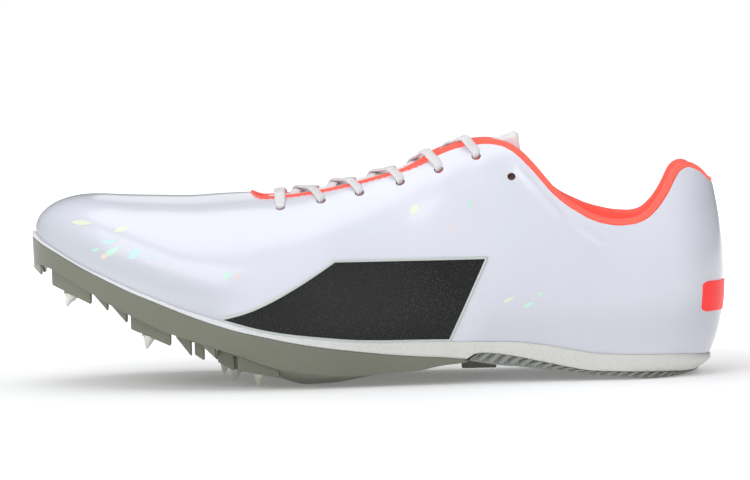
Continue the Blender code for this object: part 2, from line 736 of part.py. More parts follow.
def make_heel_rubber(finish):
    places, rib = rib_places()
    draw = heel_draw_in(places)
    heel = smooth_step(1 - places / RUBBER_HEEL_REACH)
    out = ledge(places) - draw

    def top(where, side):
        return height_of(WEDGE_LINE, along_of(side[:, 0])) - CLEARANCE

    def floor(where, side):
        return height_of(RUBBER_LINE, along_of(side[:, 0]))

    def edge(where, side):
        lifted = floor(where, side) + RUBBER_EDGE_HEIGHT + RIB_EDGE_RISE * (1 - rib)
        return np.minimum(lifted, top(where, side) - RUBBER_EDGE_GAP)
    groove = RIB_DEPTH * (1 - rib)
    slanted = places - RIB_SLANT * smooth_step(places / RUBBER_HEEL_REACH) / LENGTH
    floor_inset = RUBBER_FLOOR_INSET + (RUBBER_HEEL_INSET - RUBBER_FLOOR_INSET) * heel
    levels = [
        (slanted, out - groove, top),
        (places, out - RUBBER_DRAFT - groove - RUBBER_HEEL_DRAFT * heel, edge),
        (places, out - floor_inset, floor),
    ]
    rings = slab_rings(levels)
    rubber = loft("heel_outsole", rings, finish, cap_first=False)
    where = np.array(TAIL["along"])
    half = tail_half(where) + TAIL_GAP
    x = (0.5 - where) * LENGTH
    x[0] += TAIL_GAP
    lateral = list(zip(x, swing(where) - half))
    medial = list(zip(x, swing(where) + half))
    outline = lateral + medial[::-1]
    points = [(a, b, z) for z in (-0.1 * HEIGHT, 0.3 * HEIGHT) for a, b in outline]
    count = len(outline)
    faces = [tuple(range(count)), tuple(range(count, 2 * count))]
    faces += [(i, (i + 1) % count, count + (i + 1) % count, count + i) for i in range(count)]
    boolean(rubber, as_tool(mesh_object("tail_notch_cutter", points, faces)), "DIFFERENCE")
    return rubber


def plate_rim(places, side, grow=0.0):
    """Lateral (-1) or medial (1) points of the plate's rim, drawn in at its tail."""
    lateral, medial = feather_outline(places, ledge(places) + grow)
    rim = lateral if side < 0 else medial
    tail = places < TAIL["along"][-1]
    limit = swing(places) + side * tail_half(places)
    drawn_in = np.maximum(rim[:, 1], limit) if side < 0 else np.minimum(rim[:, 1], limit)
    rim[tail, 1] = drawn_in[tail]
    return rim


def wall_height(x):
    return height_of(WALL_LINE, along_of(x))


def make_plate_body(finish):
    places = sole_places(TAIL["along"][0], TOE_TIP)
    places = np.unique(np.concatenate([places, TAIL["along"]]))
    middle = swing(places)
    sides = {}
    for side in (-1, 1):
        top = plate_rim(places, side)
        low = plate_rim(places, side, -PLATE_DRAFT)
        top[:, 2] = height_of(WEDGE_LINE, along_of(top[:, 0])) - CLEARANCE
        limit = height_of(WEDGE_LINE, along_of(low[:, 0])) - CLEARANCE - PLATE_RIM
        low[:, 2] = np.minimum(wall_height(low[:, 0]), limit)
        reach = np.abs(low[:, 1] - middle)
        keel = low.copy()
        keel[:, 1] = middle + side * np.maximum(reach - KEEL_INSET, KEEL_LEAST_SHARE * reach)
        limit = height_of(WEDGE_LINE, along_of(keel[:, 0])) - CLEARANCE - TAIL_THICKNESS
        keel[:, 2] = np.minimum(height_of(KEEL_LINE, along_of(keel[:, 0])), limit)
        sides[side] = [top, low, keel]
    left, right = sides[-1], sides[1]
    rings = np.stack(left + right[::-1], axis=1)
    return loft("spike_plate", rings, finish, cap_last=False)


def lug_block(lug, side):
    """A tapered block hanging from the plate near its rim, its ends square across the shoe."""
    places = np.array([lug["front"], lug["back"]])
    drops = np.array([lug["front_drop"], lug["back_drop"]]) * LUG_DROP
    rim = plate_rim(places, side, -PLATE_DRAFT)
    middle = swing(places)
    reach = np.abs(rim[:, 1] - middle)
    outer = np.maximum(reach - lug["inset"] * LUG_INSET, LUG_LEAST_REACH + LUG_LEAST_WIDTH)
    inner = np.maximum(outer - LUG_WIDTH, LUG_LEAST_REACH)
    base = wall_height(rim[:, 0])
    points = []
    for distance, lean in ((outer, 1), (inner, -1)):
        root_y = middle + side * distance
        tip_y = root_y - side * lean * LUG_TAPER * drops
        roots = [(rim[i, 0], root_y[i], base[i] + LUG_ROOT) for i in (0, 1)]
        tips = [(rim[i, 0], tip_y[i], base[i] - drops[i]) for i in (0, 1)]
        points += [roots[0], roots[1], tips[1], tips[0]]
    return points, box_faces()


def tail_rib():
    """A short bar under the plate's tail that shows below the heel rubber's front."""
    front, back = [(0.5 - place) * LENGTH for place in TAIL_RIB["along"]]
    middle = float(swing(np.mean(TAIL_RIB["along"])))
    half = TAIL_RIB["half"] * BALL_WIDTH
    points = []
    for y in (middle - half, middle + half):
        low, high = TAIL_RIB["low"] * HEIGHT, TAIL_RIB["high"] * HEIGHT
        points += [(front, y, high), (back, y, high), (back, y, low), (front, y, low)]
    return points, box_faces()


def centre_lug(place):
    """A small pyramid tooth under the middle of the forefoot."""
    middle = swing(place)
    x = (0.5 - place) * LENGTH
    base = float(height_of(KEEL_LINE, place))
    ends = ((CENTRE_LUG_WIDTH / 2, base + CENTRE_LUG_ROOT), (CENTRE_LUG_TIP / 2, base - CENTRE_LUG_DROP))
    points = []
    for size, z in ends:
        points += [(x - size, middle - size, z), (x + size, middle - size, z),
                   (x + size, middle + size, z), (x - size, middle + size, z)]
    return points, box_faces()


def spike_axis(spike):
    lean = math.radians(spike["lean"])
    return Vector((math.sin(lean), 0.0, math.cos(lean)))


def spike_tip(spike):
    return Vector(((0.5 - spike["along"]) * LENGTH, spike["across"] * BALL_WIDTH, spike["tip"] * HEIGHT))


def spike_seat(spike):
    """Middle of the flat face that a spike's collar seats on."""
    tilt = math.radians(spike["lean"])
    reach = SPIKE_LENGTH + SPIKE_COLLAR_HEIGHT + CLEARANCE + SPIKE_TIP_RADIUS * math.sin(tilt)
    return spike_tip(spike) + spike_axis(spike) * reach


def make_spike_plate(finish):
    plate = make_plate_body(finish)
    blocks = [lug_block(lug, side) for lug in LUGS for side in (-1, 1)]
    blocks += [centre_lug(place) for place in CENTRE_LUGS]
    blocks.append(tail_rib())
    bosses, pockets = [], []
    for spike in SPIKES:
        seat, axis = spike_seat(spike), spike_axis(spike)
        underside = float(height_of(KEEL_LINE, spike["along"]))
        boss_length = max(underside - seat.z, 0.0) / axis.z + BOSS_ROOT
        bosses.append(cylinder(seat - axis * BOSS_FOOT, seat + axis * boss_length, BOSS_RADIUS))
        pockets.append(cylinder(seat - axis * POCKET_DEPTH, seat, POCKET_RADIUS))
    boolean(plate, as_tool(joined("boss_tool", bosses)), "UNION")
    boolean(plate, as_tool(joined("lug_tool", blocks)), "UNION", crossing_parts=True)
    boolean(plate, as_tool(joined("pocket_cutter", pockets)), "DIFFERENCE", crossing_parts=True)
    return plate


def make_spike(number, spike, finish):
    """Cone with a blunt tip on a round collar, turned about its own axis."""
    tilt = math.radians(spike["lean"])
    tip_lift = SPIKE_TIP_RADIUS * math.sin(tilt)
    profile = (
        (SPIKE_TIP_RADIUS, tip_lift),
        (SPIKE_RADIUS, SPIKE_LENGTH + tip_lift),
        (SPIKE_COLLAR_RADIUS, SPIKE_LENGTH + tip_lift),
        (SPIKE_COLLAR_RADIUS, SPIKE_LENGTH + SPIKE_COLLAR_HEIGHT + tip_lift),
    )
    sides = 8
    turn = spike_axis(spike).to_track_quat("Z", "Y")
    tip = spike_tip(spike)
    rings = []
    for radius, height in profile:
        ring = []
        for i in range(sides):
            angle = 2 * math.pi * i / sides
            ring.append(tip + turn @ Vector((radius * math.cos(angle), radius * math.sin(angle), height)))
        rings.append(ring)
    return loft(f"spike_{number}", rings, finish)


def lace_strand(name, path, finish=None):
    """Flat oval strand along a path of (along, turn, offset) arrays on the last."""
    along, turn, offset = path
    points = shell_point(along, turn, offset)
    normals = last_normal(along, turn)
    run = np.gradient(points, axis=0)
    rings = []
    for point, normal, forward in zip(points, normals, run):
        forward = forward / np.linalg.norm(forward)
        normal = normal - forward * np.dot(normal, forward)
        normal = normal / np.linalg.norm(normal)
        side = np.cross(normal, forward)
        half, thick = LACE_WIDTH / 2, LACE_THICKNESS / 2
        oval = ((1.0, 0.0), (0.6, 1.0), (-0.6, 1.0), (-1.0, 0.0), (-0.6, -1.0), (0.6, -1.0))
        rings.append([point + side * a * half + normal * b * thick for a, b in oval])
    return loft(name, rings, finish)


def lace_height(along, distance):
    """Height of a strand's middle over the last: on the tongue inside the throat, and over the
    bound edge outside it."""
    rest = LACE_THICKNESS / 2 + CLEARANCE
    inside = -TONGUE_CROWN_DEPTH + rest + LACE_CROWN_LIFT
    outside = rest + LACE_EDGE_LIFT
    over_edge = smooth_step((np.abs(distance) - 0.30 * THROAT_HALF_WIDTH) / (0.40 * THROAT_HALF_WIDTH))
    return inside + (outside - inside) * over_edge


def strand_path(start, end, count, land_both=False):
    """Path between two (along, across) places. It lands on the upper at its end, or at both ends."""
    t = np.linspace(0, 1, count)
    along = start[0] + (end[0] - start[0]) * t
    across = start[1] + (end[1] - start[1]) * t
    lift = lace_height(along, across)
    landed = LACE_THICKNESS / 2 + CLEARANCE + LACE_LANDING_LIFT
    landing = smooth_step((np.abs(across) - 1.12 * THROAT_HALF_WIDTH) / (0.35 * THROAT_HALF_WIDTH))
    lands = np.logical_or(land_both, np.sign(across) == np.sign(end[1]))
    lift = np.where(lands, lift + (landed - lift) * landing, lift)
    return along, turn_at_across(along, across), lift


def eyelet_across(place, rise):
    square = float(follow(LAST_SECTIONS, "square", place))
    return float(half_breadth(place)) * (1 - rise ** square) ** (1 / square)


def make_laces(finish):
    place, rise = EYELETS[0]
    reach = eyelet_across(place, rise)
    lace_strand("lace_bar", strand_path((place, -reach), (place, reach), 12, land_both=True), finish)
    for k in range(1, len(EYELETS)):
        end_place, end_rise = EYELETS[k]
        before = EYELETS[k - 1][0]
        start_share = FIRST_START_SHARE if k == 1 else LACE_START_SHARE
        start_place = before + (end_place - before) * start_share
        end_across = eyelet_across(end_place, end_rise)
        lateral, medial = [
            strand_path((start_place, -side * LACE_START_ACROSS), (end_place, side * end_across), 9)
            for side in (-1, 1)
        ]
        crossing = lace_strand(f"lace_cross_{k}", lateral, finish)
        second = as_tool(lace_strand(f"lace_cross_{k}_second_strand", medial))
        boolean(crossing, second, "UNION")


def centre_on_footprint():
    """Move the whole shoe so that its footprint's middle is the origin."""
    shown = [thing for thing in bpy.data.objects if not thing.hide_render]
    corners = np.array([vertex.co for thing in shown for vertex in thing.data.vertices])
    middle = (corners.min(axis=0) + corners.max(axis=0)) / 2
    shift = Matrix.Translation((-middle[0], -middle[1], 0.0))
    for mesh in {thing.data for thing in bpy.data.objects}:
        mesh.transform(shift)


def main():
    clear_scene()
    patent = material("white_patent", PATENT_WHITE, 0.12)
    coral = material("coral_knit", CORAL, 0.75)
    foam = material("white_foam", FOAM_WHITE, 0.6)
    plate_grey = material("grey_plate", PLATE_GREY, 0.35)
    rubber = material("grey_rubber", RUBBER_GREY, 0.7)
    steel = material("spike_steel", STEEL, 0.3, 1.0)
    cord = material("white_lace", LACE_WHITE, 0.85)
    make_upper(patent)
    make_collar_lining(coral)
    make_tongue(patent)
    make_insole(coral)
    make_midsole(foam)
    make_heel_rubber(rubber)
    make_spike_plate(plate_grey)
    for number, spike in enumerate(SPIKES, start=1):
        make_spike(number, spike, steel)
    make_laces(cord)
    centre_on_footprint()


main()
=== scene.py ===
"""Looks of the left sprint spike shoe: a pearl white patent upper with a black panel, coral collar,
white laces, foam wedge, grey plate and rubber, and steel spikes, on a white studio floor.

Metres, +Z up, toe toward -X, lateral side toward -Y. "along" is a share of the length, from the
rearmost point of the heel to the toe lip. "turn" runs over a section of the last, from 0 at the
lateral bottom edge over the ridge to a half turn at the medial bottom edge.
"""
import math

import bmesh
import bpy
import numpy as np
from mathutils import Matrix, Vector
from mathutils.kdtree import KDTree


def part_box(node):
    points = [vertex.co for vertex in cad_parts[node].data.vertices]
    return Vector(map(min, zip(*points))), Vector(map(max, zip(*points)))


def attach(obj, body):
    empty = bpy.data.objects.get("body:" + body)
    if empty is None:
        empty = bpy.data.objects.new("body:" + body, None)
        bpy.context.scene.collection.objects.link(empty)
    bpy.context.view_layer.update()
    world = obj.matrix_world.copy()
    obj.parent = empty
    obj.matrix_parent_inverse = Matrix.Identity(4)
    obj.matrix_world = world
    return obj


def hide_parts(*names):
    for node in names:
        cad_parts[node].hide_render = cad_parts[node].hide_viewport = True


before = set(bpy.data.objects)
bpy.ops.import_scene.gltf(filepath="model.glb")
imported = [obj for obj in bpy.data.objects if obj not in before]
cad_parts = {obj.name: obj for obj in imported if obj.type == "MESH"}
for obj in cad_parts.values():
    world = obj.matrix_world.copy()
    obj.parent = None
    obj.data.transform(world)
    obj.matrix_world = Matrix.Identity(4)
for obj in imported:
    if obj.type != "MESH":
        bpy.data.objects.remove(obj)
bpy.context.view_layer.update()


def rows_of(table):
    """Rows of a table that is written by its columns."""
    return [dict(zip(table, row)) for row in zip(*table.values())]


# Driving sizes of the last
LENGTH = 0.285
HEIGHT = 0.100
BREADTH = 0.088

# Ends of the last
TOE_TIP = 0.995
TOE_CAP_LENGTH = 0.050
TOE_DOME_LENGTH = 0.026
HEEL_CAP_LENGTH = 0.035
CAP_POWER = 2.2
DOME_POWER = 2.1
HEEL_BULGE_HEIGHT = 0.042
HEEL_TUCK_BELOW = 0.0066
HEEL_TUCK_ABOVE = 0.0043
HEEL_TUCK_REACH = 0.35

# Walls and clearances
UPPER_WALL = 0.0016
CLEARANCE = 0.0003
LINING_GAP = 0.0006
TONGUE_THICKNESS = 0.0018

# Throat, collar and tongue
THROAT_FRONT = 0.6795
THROAT_HALF_WIDTH = 0.0118
THROAT_FLARE = 0.0016
THROAT_END_LENGTH = 0.0058
COLLAR_START = 0.400
COLLAR_MEDIAL_RISE = 0.0027
COLLAR_MEDIAL_LEAD = 0.011
TONGUE_END = 0.2945
TONGUE_FRONT = 0.655
TONGUE_HALF_WIDTH = 0.0195
TONGUE_CROWN_HALF_WIDTH = 0.0062
TONGUE_SLOPE_WIDTH = 0.0040
TONGUE_CROWN_DEPTH = 0.0016

# Lacing
EYELET_RADIUS = 0.0019
SPARE_EYELET_RADIUS = 0.00166
LACE_WIDTH = 0.0045
LACE_THICKNESS = 0.0013
BAR_LEAN = 0.0030
LACE_LEAN_POWER = 1.7
LACE_TUCK = 0.0020
BAR_CROWN = 0.0013
WEAVE_PITCH = 0.0011
LACE_SIDES = 16
# Where each crossing starts, as a share of the way from the hole before it
LACE_STARTS = (0.25, 0.14, 0.12, 0.09, -0.06)

# Sole
LEDGE = 0.0010
TOE_LEDGE = 0.0014
HEEL_LEDGE = 0.0006
HEEL_DRAW_IN = 0.0050
RUBBER_FRONT = 0.372
SOLE_STEP = (0.32, 0.40)
RUBBER_EDGE_HEIGHT = 0.0012
RUBBER_FLOOR_INSET = 0.0022
RUBBER_HEEL_INSET = 0.0080
RIB_PITCH = 0.0042
RIB_DEPTH = 0.0016
RIB_NOTCH = 0.0014
RIB_SLANT = 0.0034
SOLE_SEAM = 0.0001
TAIL_THICKNESS = 0.0022
PLATE_RIM = 0.0014
KEEL_INSET = 0.0150
LUG_DROP = 0.0080
LUG_INSET = 0.0040
LUG_WIDTH = 0.0085
LUG_ROOT = 0.0016
LUG_TAPER = 0.12
LUG_LEAST_REACH = 0.0010
LUG_LEAST_WIDTH = 0.0016
PLATE_DRAFT = 0.0003
SPIKE_LENGTH = 0.0048
SPIKE_RADIUS = 0.0023
SPIKE_TIP_RADIUS = 0.0005
SPIKE_COLLAR_RADIUS = 0.0032
SPIKE_COLLAR_HEIGHT = 0.0010
BOSS_RADIUS = 0.0044
POCKET_DEPTH = 0.012

# Sections of the last. Lengths are shares of BREADTH; undercut is a share of the half breadth,
# and square is the power of the section's oval.
LAST_SECTIONS = {
    "along":    (0.00, 0.08, 0.15, 0.25, 0.35, 0.45, 0.55, 0.62, 0.70, 0.78, 0.86, 0.93, 1.00),
    "breadth":  (.330, .324, .337, .343, .349, .369, .426, .474, .500, .483, .425, .378, .320),
    "swing":    (.000, -.004, -.008, -.014, -.031, -.051, -.051, -.031, .000, .025, .046, .074, .100),
    "lean":     (.000, .000, .000, .005, .020, .040, .056, .060, .056, .040, .020, .000, .000),
    "undercut": (.080, .080, .080, .080, .080, .080, .070, .060, .050, .030, .010, .000, .000),
    "square":   (2.10, 2.10, 2.10, 2.05, 2.00, 2.00, 2.00, 2.00, 2.05, 2.15, 2.25, 2.30, 2.30),
}

# Side lines. Heights are shares of HEIGHT.
FEATHER_LINE = {
    "along": (.00, .06, .12, .17, .20, .23, .27, .31, .36, .42, .49, .53, .59, .63, .665, .70, .74, .775,
              .81, .85, .885, .92, .96, .98, .995),
    "height": (.083, .096, .100, .106, .115, .130, .152, .165, .170, .175, .178, .183, .201, .216, .235,
               .262, .298, .330, .369, .414, .458, .502, .563, .594, .630),
}
RIDGE_LINE = {
    "along": (.00, .055, .10, .155, .20, .25, .30, .34, .36, .38, .40, .42, .44, .465, .49, .52, .54, .57,
              .60, .63, .66, .70, .73, .77, .81, .853, .90, .995),
    "height": (1.38, 1.31, 1.22, 1.13, 1.09, 1.055, 1.024, 1.009, 1.000, .988, .972, .949, .922, .895, .871,
               .845, .830, .811, .795, .784, .777, .774, .771, .766, .769, .773, .780, .785),
}
EDGE_LINE = {
    "along": (.000, .0063, .0165, .028, .039, .052, .0636, .076, .088, .101, .117, .136, .155, .177, .195,
              .213, .231, .249, .266, .281, .305, .321, .340, .361, .380, .400, .430),
    "height": (.780, .788, .818, .840, .849, .837, .804, .756, .714, .676, .643, .626, .622, .631, .648,
               .677, .711, .756, .813, .863, .927, .949, .957, .954, .944, .929, .900),
}
WEDGE_LINE = {
    "along": (.00, .052, .124, .167, .20, .221, .254, .286, .308, .33, .355, .365, .372, .378, .404, .445,
              .486, .548, .592, .628, .663, .70, .735, .77, .81, .847, .884, .922, .96, .98, .997),
    "height": (.022, .021, .030, .036, .041, .051, .072, .093, .107, .118, .124, .120, .109, .102, .109, .117,
               .128, .151, .171, .191, .214, .239, .270, .306, .352, .394, .442, .494, .551, .580, .608),
}
WALL_LINE = {
    "along": (.326, .365, .375, .387, .404, .425, .446, .477, .508, .54, .575, .611, .64, .695, .723, .7485,
              .7865, .844, .872, .897, .961, .976, .999),
    "height": (.096, .096, .088, .084, .080, .071, .059, .055, .050, .050, .056, .070, .085, .139, .165, .190,
               .224, .295, .334, .375, .472, .494, .502),
}
KEEL_LINE = {
    "along": (.326, .365, .375, .404, .446, .48, .512, .528, .568, .603, .64, .67, .70, .74, .7865, .844,
              .897, .961, .999),
    "height": (.096, .096, .084, .074, .053, .043, .033, .025, .010, .008, .036, .072, .115, .170, .216, .288,
               .368, .462, .494),
}
RUBBER_LINE = {
    "along": (.00, .06, .12, .133, .166, .198, .22, .242, .275, .307, .329, .373),
    "height": (.000, .000, .000, .004, .013, .022, .030, .040, .052, .064, .070, .092),
}
# Half width of the plate's tail, shares of BREADTH
TAIL = {
    "along": (.326, .332, .345, .360, .372, .386),
    "half": (.045, .085, .130, .200, .310, .410),
}
# Bar under the plate's tail: its ends, its half width as a share of the breadth, and its heights
TAIL_RIB = {"along": (.381, .331), "half": .038, "low": .036, "high": .100}
# Collar lining round the opening: thickness, height above the upper's edge, depth inside it, and
# how far its top is lifted off the last beside the tongue
LINING = {
    "along": (0.00, 0.10, 0.26, 0.30, 0.36, 0.42, 0.47, 0.70),
    "thickness": (.0034, .0034, .0031, .0030, .0022, .0018, .0010, .0010),
    "proud": (.0028, .0028, .0027, .0030, .0031, .0029, .0010, .0009),
    "depth": (.0140, .0140, .0126, .0120, .0080, .0050, .0030, .0026),
    "lift": (.0000, .0000, .0000, .0009, .0017, .0016, .0005, .0003),
}
# The tongue's sag behind the lacing, and the turned-down lip of its end
TONGUE_SAG = {
    "along": (.291, .300, .322, .345, .430, .520, .700),
    "sag": (.0012, .0002, .0016, .0020, .0017, .0003, .0000),
}

# Lace holes, toe to heel: along, and height as a share of the section's rise
EYELETS = ((.636, .884), (.578, .894), (.523, .891), (.465, .884), (.410, .871), (.356, .888))
SPARE_EYELET = (.307, .772)

# Lugs under each side of the plate. Drops below the wall's lower edge are shares of LUG_DROP,
# insets from the rim shares of LUG_INSET.
LUGS = rows_of({
    "front": (.9945, .9651, .9016, .8767, .8487, .7850, .7590, .7508, .7265, .6987),
    "back": (.9813, .9065, .8816, .8542, .7925, .7640, .7460, .7285, .7035, .6404),
    "front_drop": (.31, .89, .04, .04, .74, .15, .74, .02, .75, .82),
    "back_drop": (.59, .66, .46, .53, .68, .88, .90, .50, .95, .50),
    "inset": (0.3, 1.0, 0.8, 0.8, 1.0, 1.5, 1.6, 0.1, 1.9, 0.9),
})
CENTRE_LUGS = (.90, .865, .80, .765)

# Spikes: along, across as a share of BREADTH, height of the tip as a share of HEIGHT, lean in degrees
SPIKES = rows_of({
    "along": (.948, .948, .829, .829, .729, .708, .672),
    "across": (-.09, .23, -.32, .38, .29, -.09, -.33),
    "tip": (.321, .321, .160, .160, .000, .000, .000),
    "lean": (22.0, 22.0, 14.0, 14.0, 7.7, 7.7, 7.7),
})

# Soft ridges (lift above 0) and troughs (below 0) of the upper, in metres of lift and width.
# Each runs between two places, given as along and height share.
CREASES = rows_of({
    "start": ((.295, .850), (.212, .620), (.290, .800), (.840, .590), (.800, .620), (.620, .640),
        (.470, .700), (.345, .850), (.110, .600)),
    "end": ((.242, .675), (.184, .561), (.200, .570), (.720, .420), (.700, .580), (.560, .560),
        (.400, .560), (.310, .700), (.080, .300)),
    "width": (.0016, .0018, .0040, .0075, .0080, .0090, .0100, .0060, .0090),
    "lift": (.00060, .00040, -.00030, .00035, -.00030, .00030, -.00035, .00030, -.00030),
})

# Painted shade of the pearl film, as darker lines between two places given as along and height share
PAINTED_SHADE_LINES = rows_of({
    "start": ((.975, .610), (.330, .740), (.330, .220), (.280, .430), (.026, .700)),
    "end": ((.740, .330), (.200, .560), (.020, .200), (.020, .430), (.020, .300)),
    "width": (.011, .016, .015, .015, .011),
    "dark": (.50, .10, .38, .08, .25),
})

# Pastel slivers in the pearl film: both ends as along and height share, width, and tint
SLIVERS = rows_of({
    "start": ((.934, .673), (.871, .637), (.889, .590), (.904, .560), (.886, .540), (.890, .533),
        (.849, .530), (.823, .536), (.813, .556), (.714, .447), (.698, .440), (.451, .690), (.369, .702),
        (.397, .609), (.323, .326), (.295, .304), (.275, .351)),
    "end": ((.904, .670), (.851, .652), (.865, .605), (.891, .570), (.863, .575), (.880, .547),
        (.832, .568), (.815, .540), (.808, .558), (.705, .473), (.694, .472), (.441, .722), (.365, .735),
        (.393, .640), (.307, .348), (.279, .324), (.265, .359)),
    "width": (.0020, .0020, .0017, .0013, .0027, .0022, .0032, .0013, .0012, .0028, .0015, .0032, .0020,
        .0016, .0013, .0018, .0013),
    "tint": ("yellow", "yellow", "cyan", "green", "green", "peach", "cyan", "cyan", "lilac", "green",
        "peach", "yellow", "green", "peach", "yellow", "green", "green"),
})
# Place of each tint in the slivers' colour ramp, and its linear colour
TINTS = {
    "yellow": (0.1, (0.95, 0.96, 0.68)),
    "green": (0.3, (0.56, 0.93, 0.72)),
    "cyan": (0.5, (0.50, 0.84, 0.88)),
    "lilac": (0.7, (0.70, 0.72, 0.90)),
    "peach": (0.9, (0.97, 0.76, 0.68)),
}
SLIVER_LIFT = 0.00006

# Black side panel: its corners' places along, and the share of HEIGHT of its top edge
PANEL = {"low_front": .724, "high_front": .560, "low_rear": .400, "high_rear": .345}
PANEL_TOP = 0.505
PANEL_PROUD = 0.00035
PANEL_THICKNESS = 0.0004
PIPING_RADIUS = 0.00045

# Heel tab and stitching
TAB_LOW = 0.0262
TAB_HIGH = 0.0385
TAB_REACH = 0.0262
TAB_THICKNESS = 0.0005
STITCH_FROM = 0.425
STITCH_PITCH = 0.0026
STITCH_DEPTH = 0.0007
STITCH_TOOTH = 0.0009
STITCH_THICKNESS = 0.0003

# Colours, linear
PATENT_COOL = (0.79, 0.82, 0.90)
PATENT_LILAC = (0.81, 0.81, 0.90)
# Grey that the pearl film's painted shade goes toward
PATENT_PAINTED_SHADE = (0.45, 0.48, 0.51)
PANEL_BLACK = (0.010, 0.010, 0.010)
PANEL_FLECK = (0.075, 0.076, 0.075)
PIPING_SILVER = (0.62, 0.66, 0.64)
CORAL = (0.90, 0.125, 0.085)
CORAL_DEEP = (0.90, 0.045, 0.035)
LACE_WHITE = (0.93, 0.91, 0.92)
FOAM_WHITE = (0.76, 0.78, 0.76)
PLATE_GREY = (0.155, 0.160, 0.118)
RUBBER_GREY = (0.28, 0.29, 0.275)
STEEL = (0.80, 0.80, 0.73)
FLOOR_WHITE = (0.9, 0.9, 0.9)


def follow(table, name, along):
    """Smooth curve through one column of a table, without overshoot between its rows."""
    places = np.asarray(table["along"], dtype=float)
    values = np.asarray(table[name], dtype=float)
    along = np.clip(np.asarray(along, dtype=float), places[0], places[-1])
    step = np.diff(places)
    slope = np.diff(values) / step
    tangent = np.empty_like(values)
    tangent[0], tangent[-1] = slope[0], slope[-1]
    product = slope[1:] * slope[:-1]
    total = slope[1:] + slope[:-1]
    tangent[1:-1] = np.where(product > 0, 2 * product / np.where(product > 0, total, 1.0), 0.0)
    i = np.clip(np.searchsorted(places, along, side="right") - 1, 0, len(step) - 1)
    t = (along - places[i]) / step[i]
    rising = t * t * (3 - 2 * t)
    start = t * (1 - t) ** 2 * step[i] * tangent[i]
    end = t * t * (t - 1) * step[i] * tangent[i + 1]
    return values[i] * (1 - rising) + values[i + 1] * rising + start + end


def height_of(line, along):
    return follow(line, "height", along) * HEIGHT


def cap(distance, length, power):
    """0 at the end of a rounded form, 1 from one cap length inward."""
    t = np.clip(np.asarray(distance) / length, 0.0, 1.0)
    return (1 - (1 - t) ** power) ** (1 / power)


def smooth_step(value):
    t = np.clip(value, 0.0, 1.0)
    return t * t * (3 - 2 * t)


def along_of(x):
    return 0.5 - np.asarray(x) / LENGTH


def feather_height(along):
    return height_of(FEATHER_LINE, along)


def ridge_height(along):
    tip = feather_height(TOE_TIP)
    dome = cap((TOE_TIP - along) * LENGTH, TOE_DOME_LENGTH, DOME_POWER)
    return tip + (height_of(RIDGE_LINE, along) - tip) * dome


def heel_tuck(along, height):
    """How far the back of the heel lies forward of its rearmost point at a height."""
    below = np.clip(HEEL_BULGE_HEIGHT - height, 0, None) / (HEEL_BULGE_HEIGHT - feather_height(0.0))
    above = np.clip(height - HEEL_BULGE_HEIGHT, 0, None)
    above = above / (height_of(EDGE_LINE, 0.0) - HEEL_BULGE_HEIGHT)
    fade = np.clip(1 - along / HEEL_TUCK_REACH, 0, 1) ** 2
    return (HEEL_TUCK_BELOW * below ** 2.5 + HEEL_TUCK_ABOVE * above ** 1.8) * fade


def half_breadth(along):
    ends = cap(along * LENGTH, HEEL_CAP_LENGTH, CAP_POWER)
    ends = ends * cap((TOE_TIP - along) * LENGTH, TOE_CAP_LENGTH, CAP_POWER)
    full = follow(LAST_SECTIONS, "breadth", along) * BREADTH
    return full * ends / (1 - follow(LAST_SECTIONS, "undercut", along))


def swing(along):
    return follow(LAST_SECTIONS, "swing", along) * BREADTH


def last_point(along, turn):
    along, turn = np.broadcast_arrays(np.asarray(along, float), np.asarray(turn, float))
    rise = np.clip(np.sin(turn), 0.0, 1.0)
    square = follow(LAST_SECTIONS, "square", along)
    undercut = follow(LAST_SECTIONS, "undercut", along)
    oval = np.clip(1 - rise ** square, 0, 1) ** (1 / square) * (1 - undercut * (1 - rise) ** 3)
    oval = np.where(np.abs(np.cos(turn)) < 1e-9, 0.0, oval)
    middle = swing(along) + follow(LAST_SECTIONS, "lean", along) * BREADTH * rise ** 2
    across = middle - np.sign(np.cos(turn)) * half_breadth(along) * oval
    feather = feather_height(along)
    height = feather + (ridge_height(along) - feather) * rise
    x = (0.5 - along) * LENGTH - heel_tuck(along, height)
    return np.stack([x, across, height], axis=-1)


def last_normal(along, turn):
    """Outward unit normal of the last."""
    along, turn = np.broadcast_arrays(np.asarray(along, float), np.asarray(turn, float))
    inward = np.clip(along, 0.002, TOE_TIP - 0.002)
    by_along = last_point(inward - 5e-4, turn) - last_point(inward + 5e-4, turn)
    by_turn = last_point(inward, turn + 2e-3) - last_point(inward, turn - 2e-3)
    normal = np.cross(by_along, by_turn)
    return normal / np.linalg.norm(normal, axis=-1, keepdims=True)


def line_ends(line):
    """Both ends of a row of CREASES, PAINTED_SHADE_LINES or SLIVERS in the side view, as x and z."""
    return [np.array([(0.5 - a) * LENGTH, h * HEIGHT]) for a, h in (line["start"], line["end"])]


def line_share(line, point):
    """1 on a line of CREASES or PAINTED_SHADE_LINES, fading to 0 away from it, for points on the last."""
    start, end = line_ends(line)
    run = end - start
    x, z = point[..., 0] - start[0], point[..., 2] - start[1]
    near = np.clip((x * run[0] + z * run[1]) / (run[0] ** 2 + run[1] ** 2), 0, 1)
    gap = np.hypot(x - near * run[0], z - near * run[1])
    return np.exp(-(gap / line["width"]) ** 2)


def crease_lift(along, turn):
    """Lift of the soft ridges and troughs at a place."""
    point = last_point(along, turn)
    return sum(crease["lift"] * line_share(crease, point) for crease in CREASES)


def upper_point(along, turn, offset=0.0):
    """Point a distance outside the upper's outer face, creases included."""
    lift = crease_lift(along, turn) + np.asarray(offset)
    return last_point(along, turn) + last_normal(along, turn) * lift[..., None]


def shell_point(along, turn, offset):
    """Point a distance outside (or, below zero, inside) the last."""
    return last_point(along, turn) + last_normal(along, turn) * np.asarray(offset)[..., None]


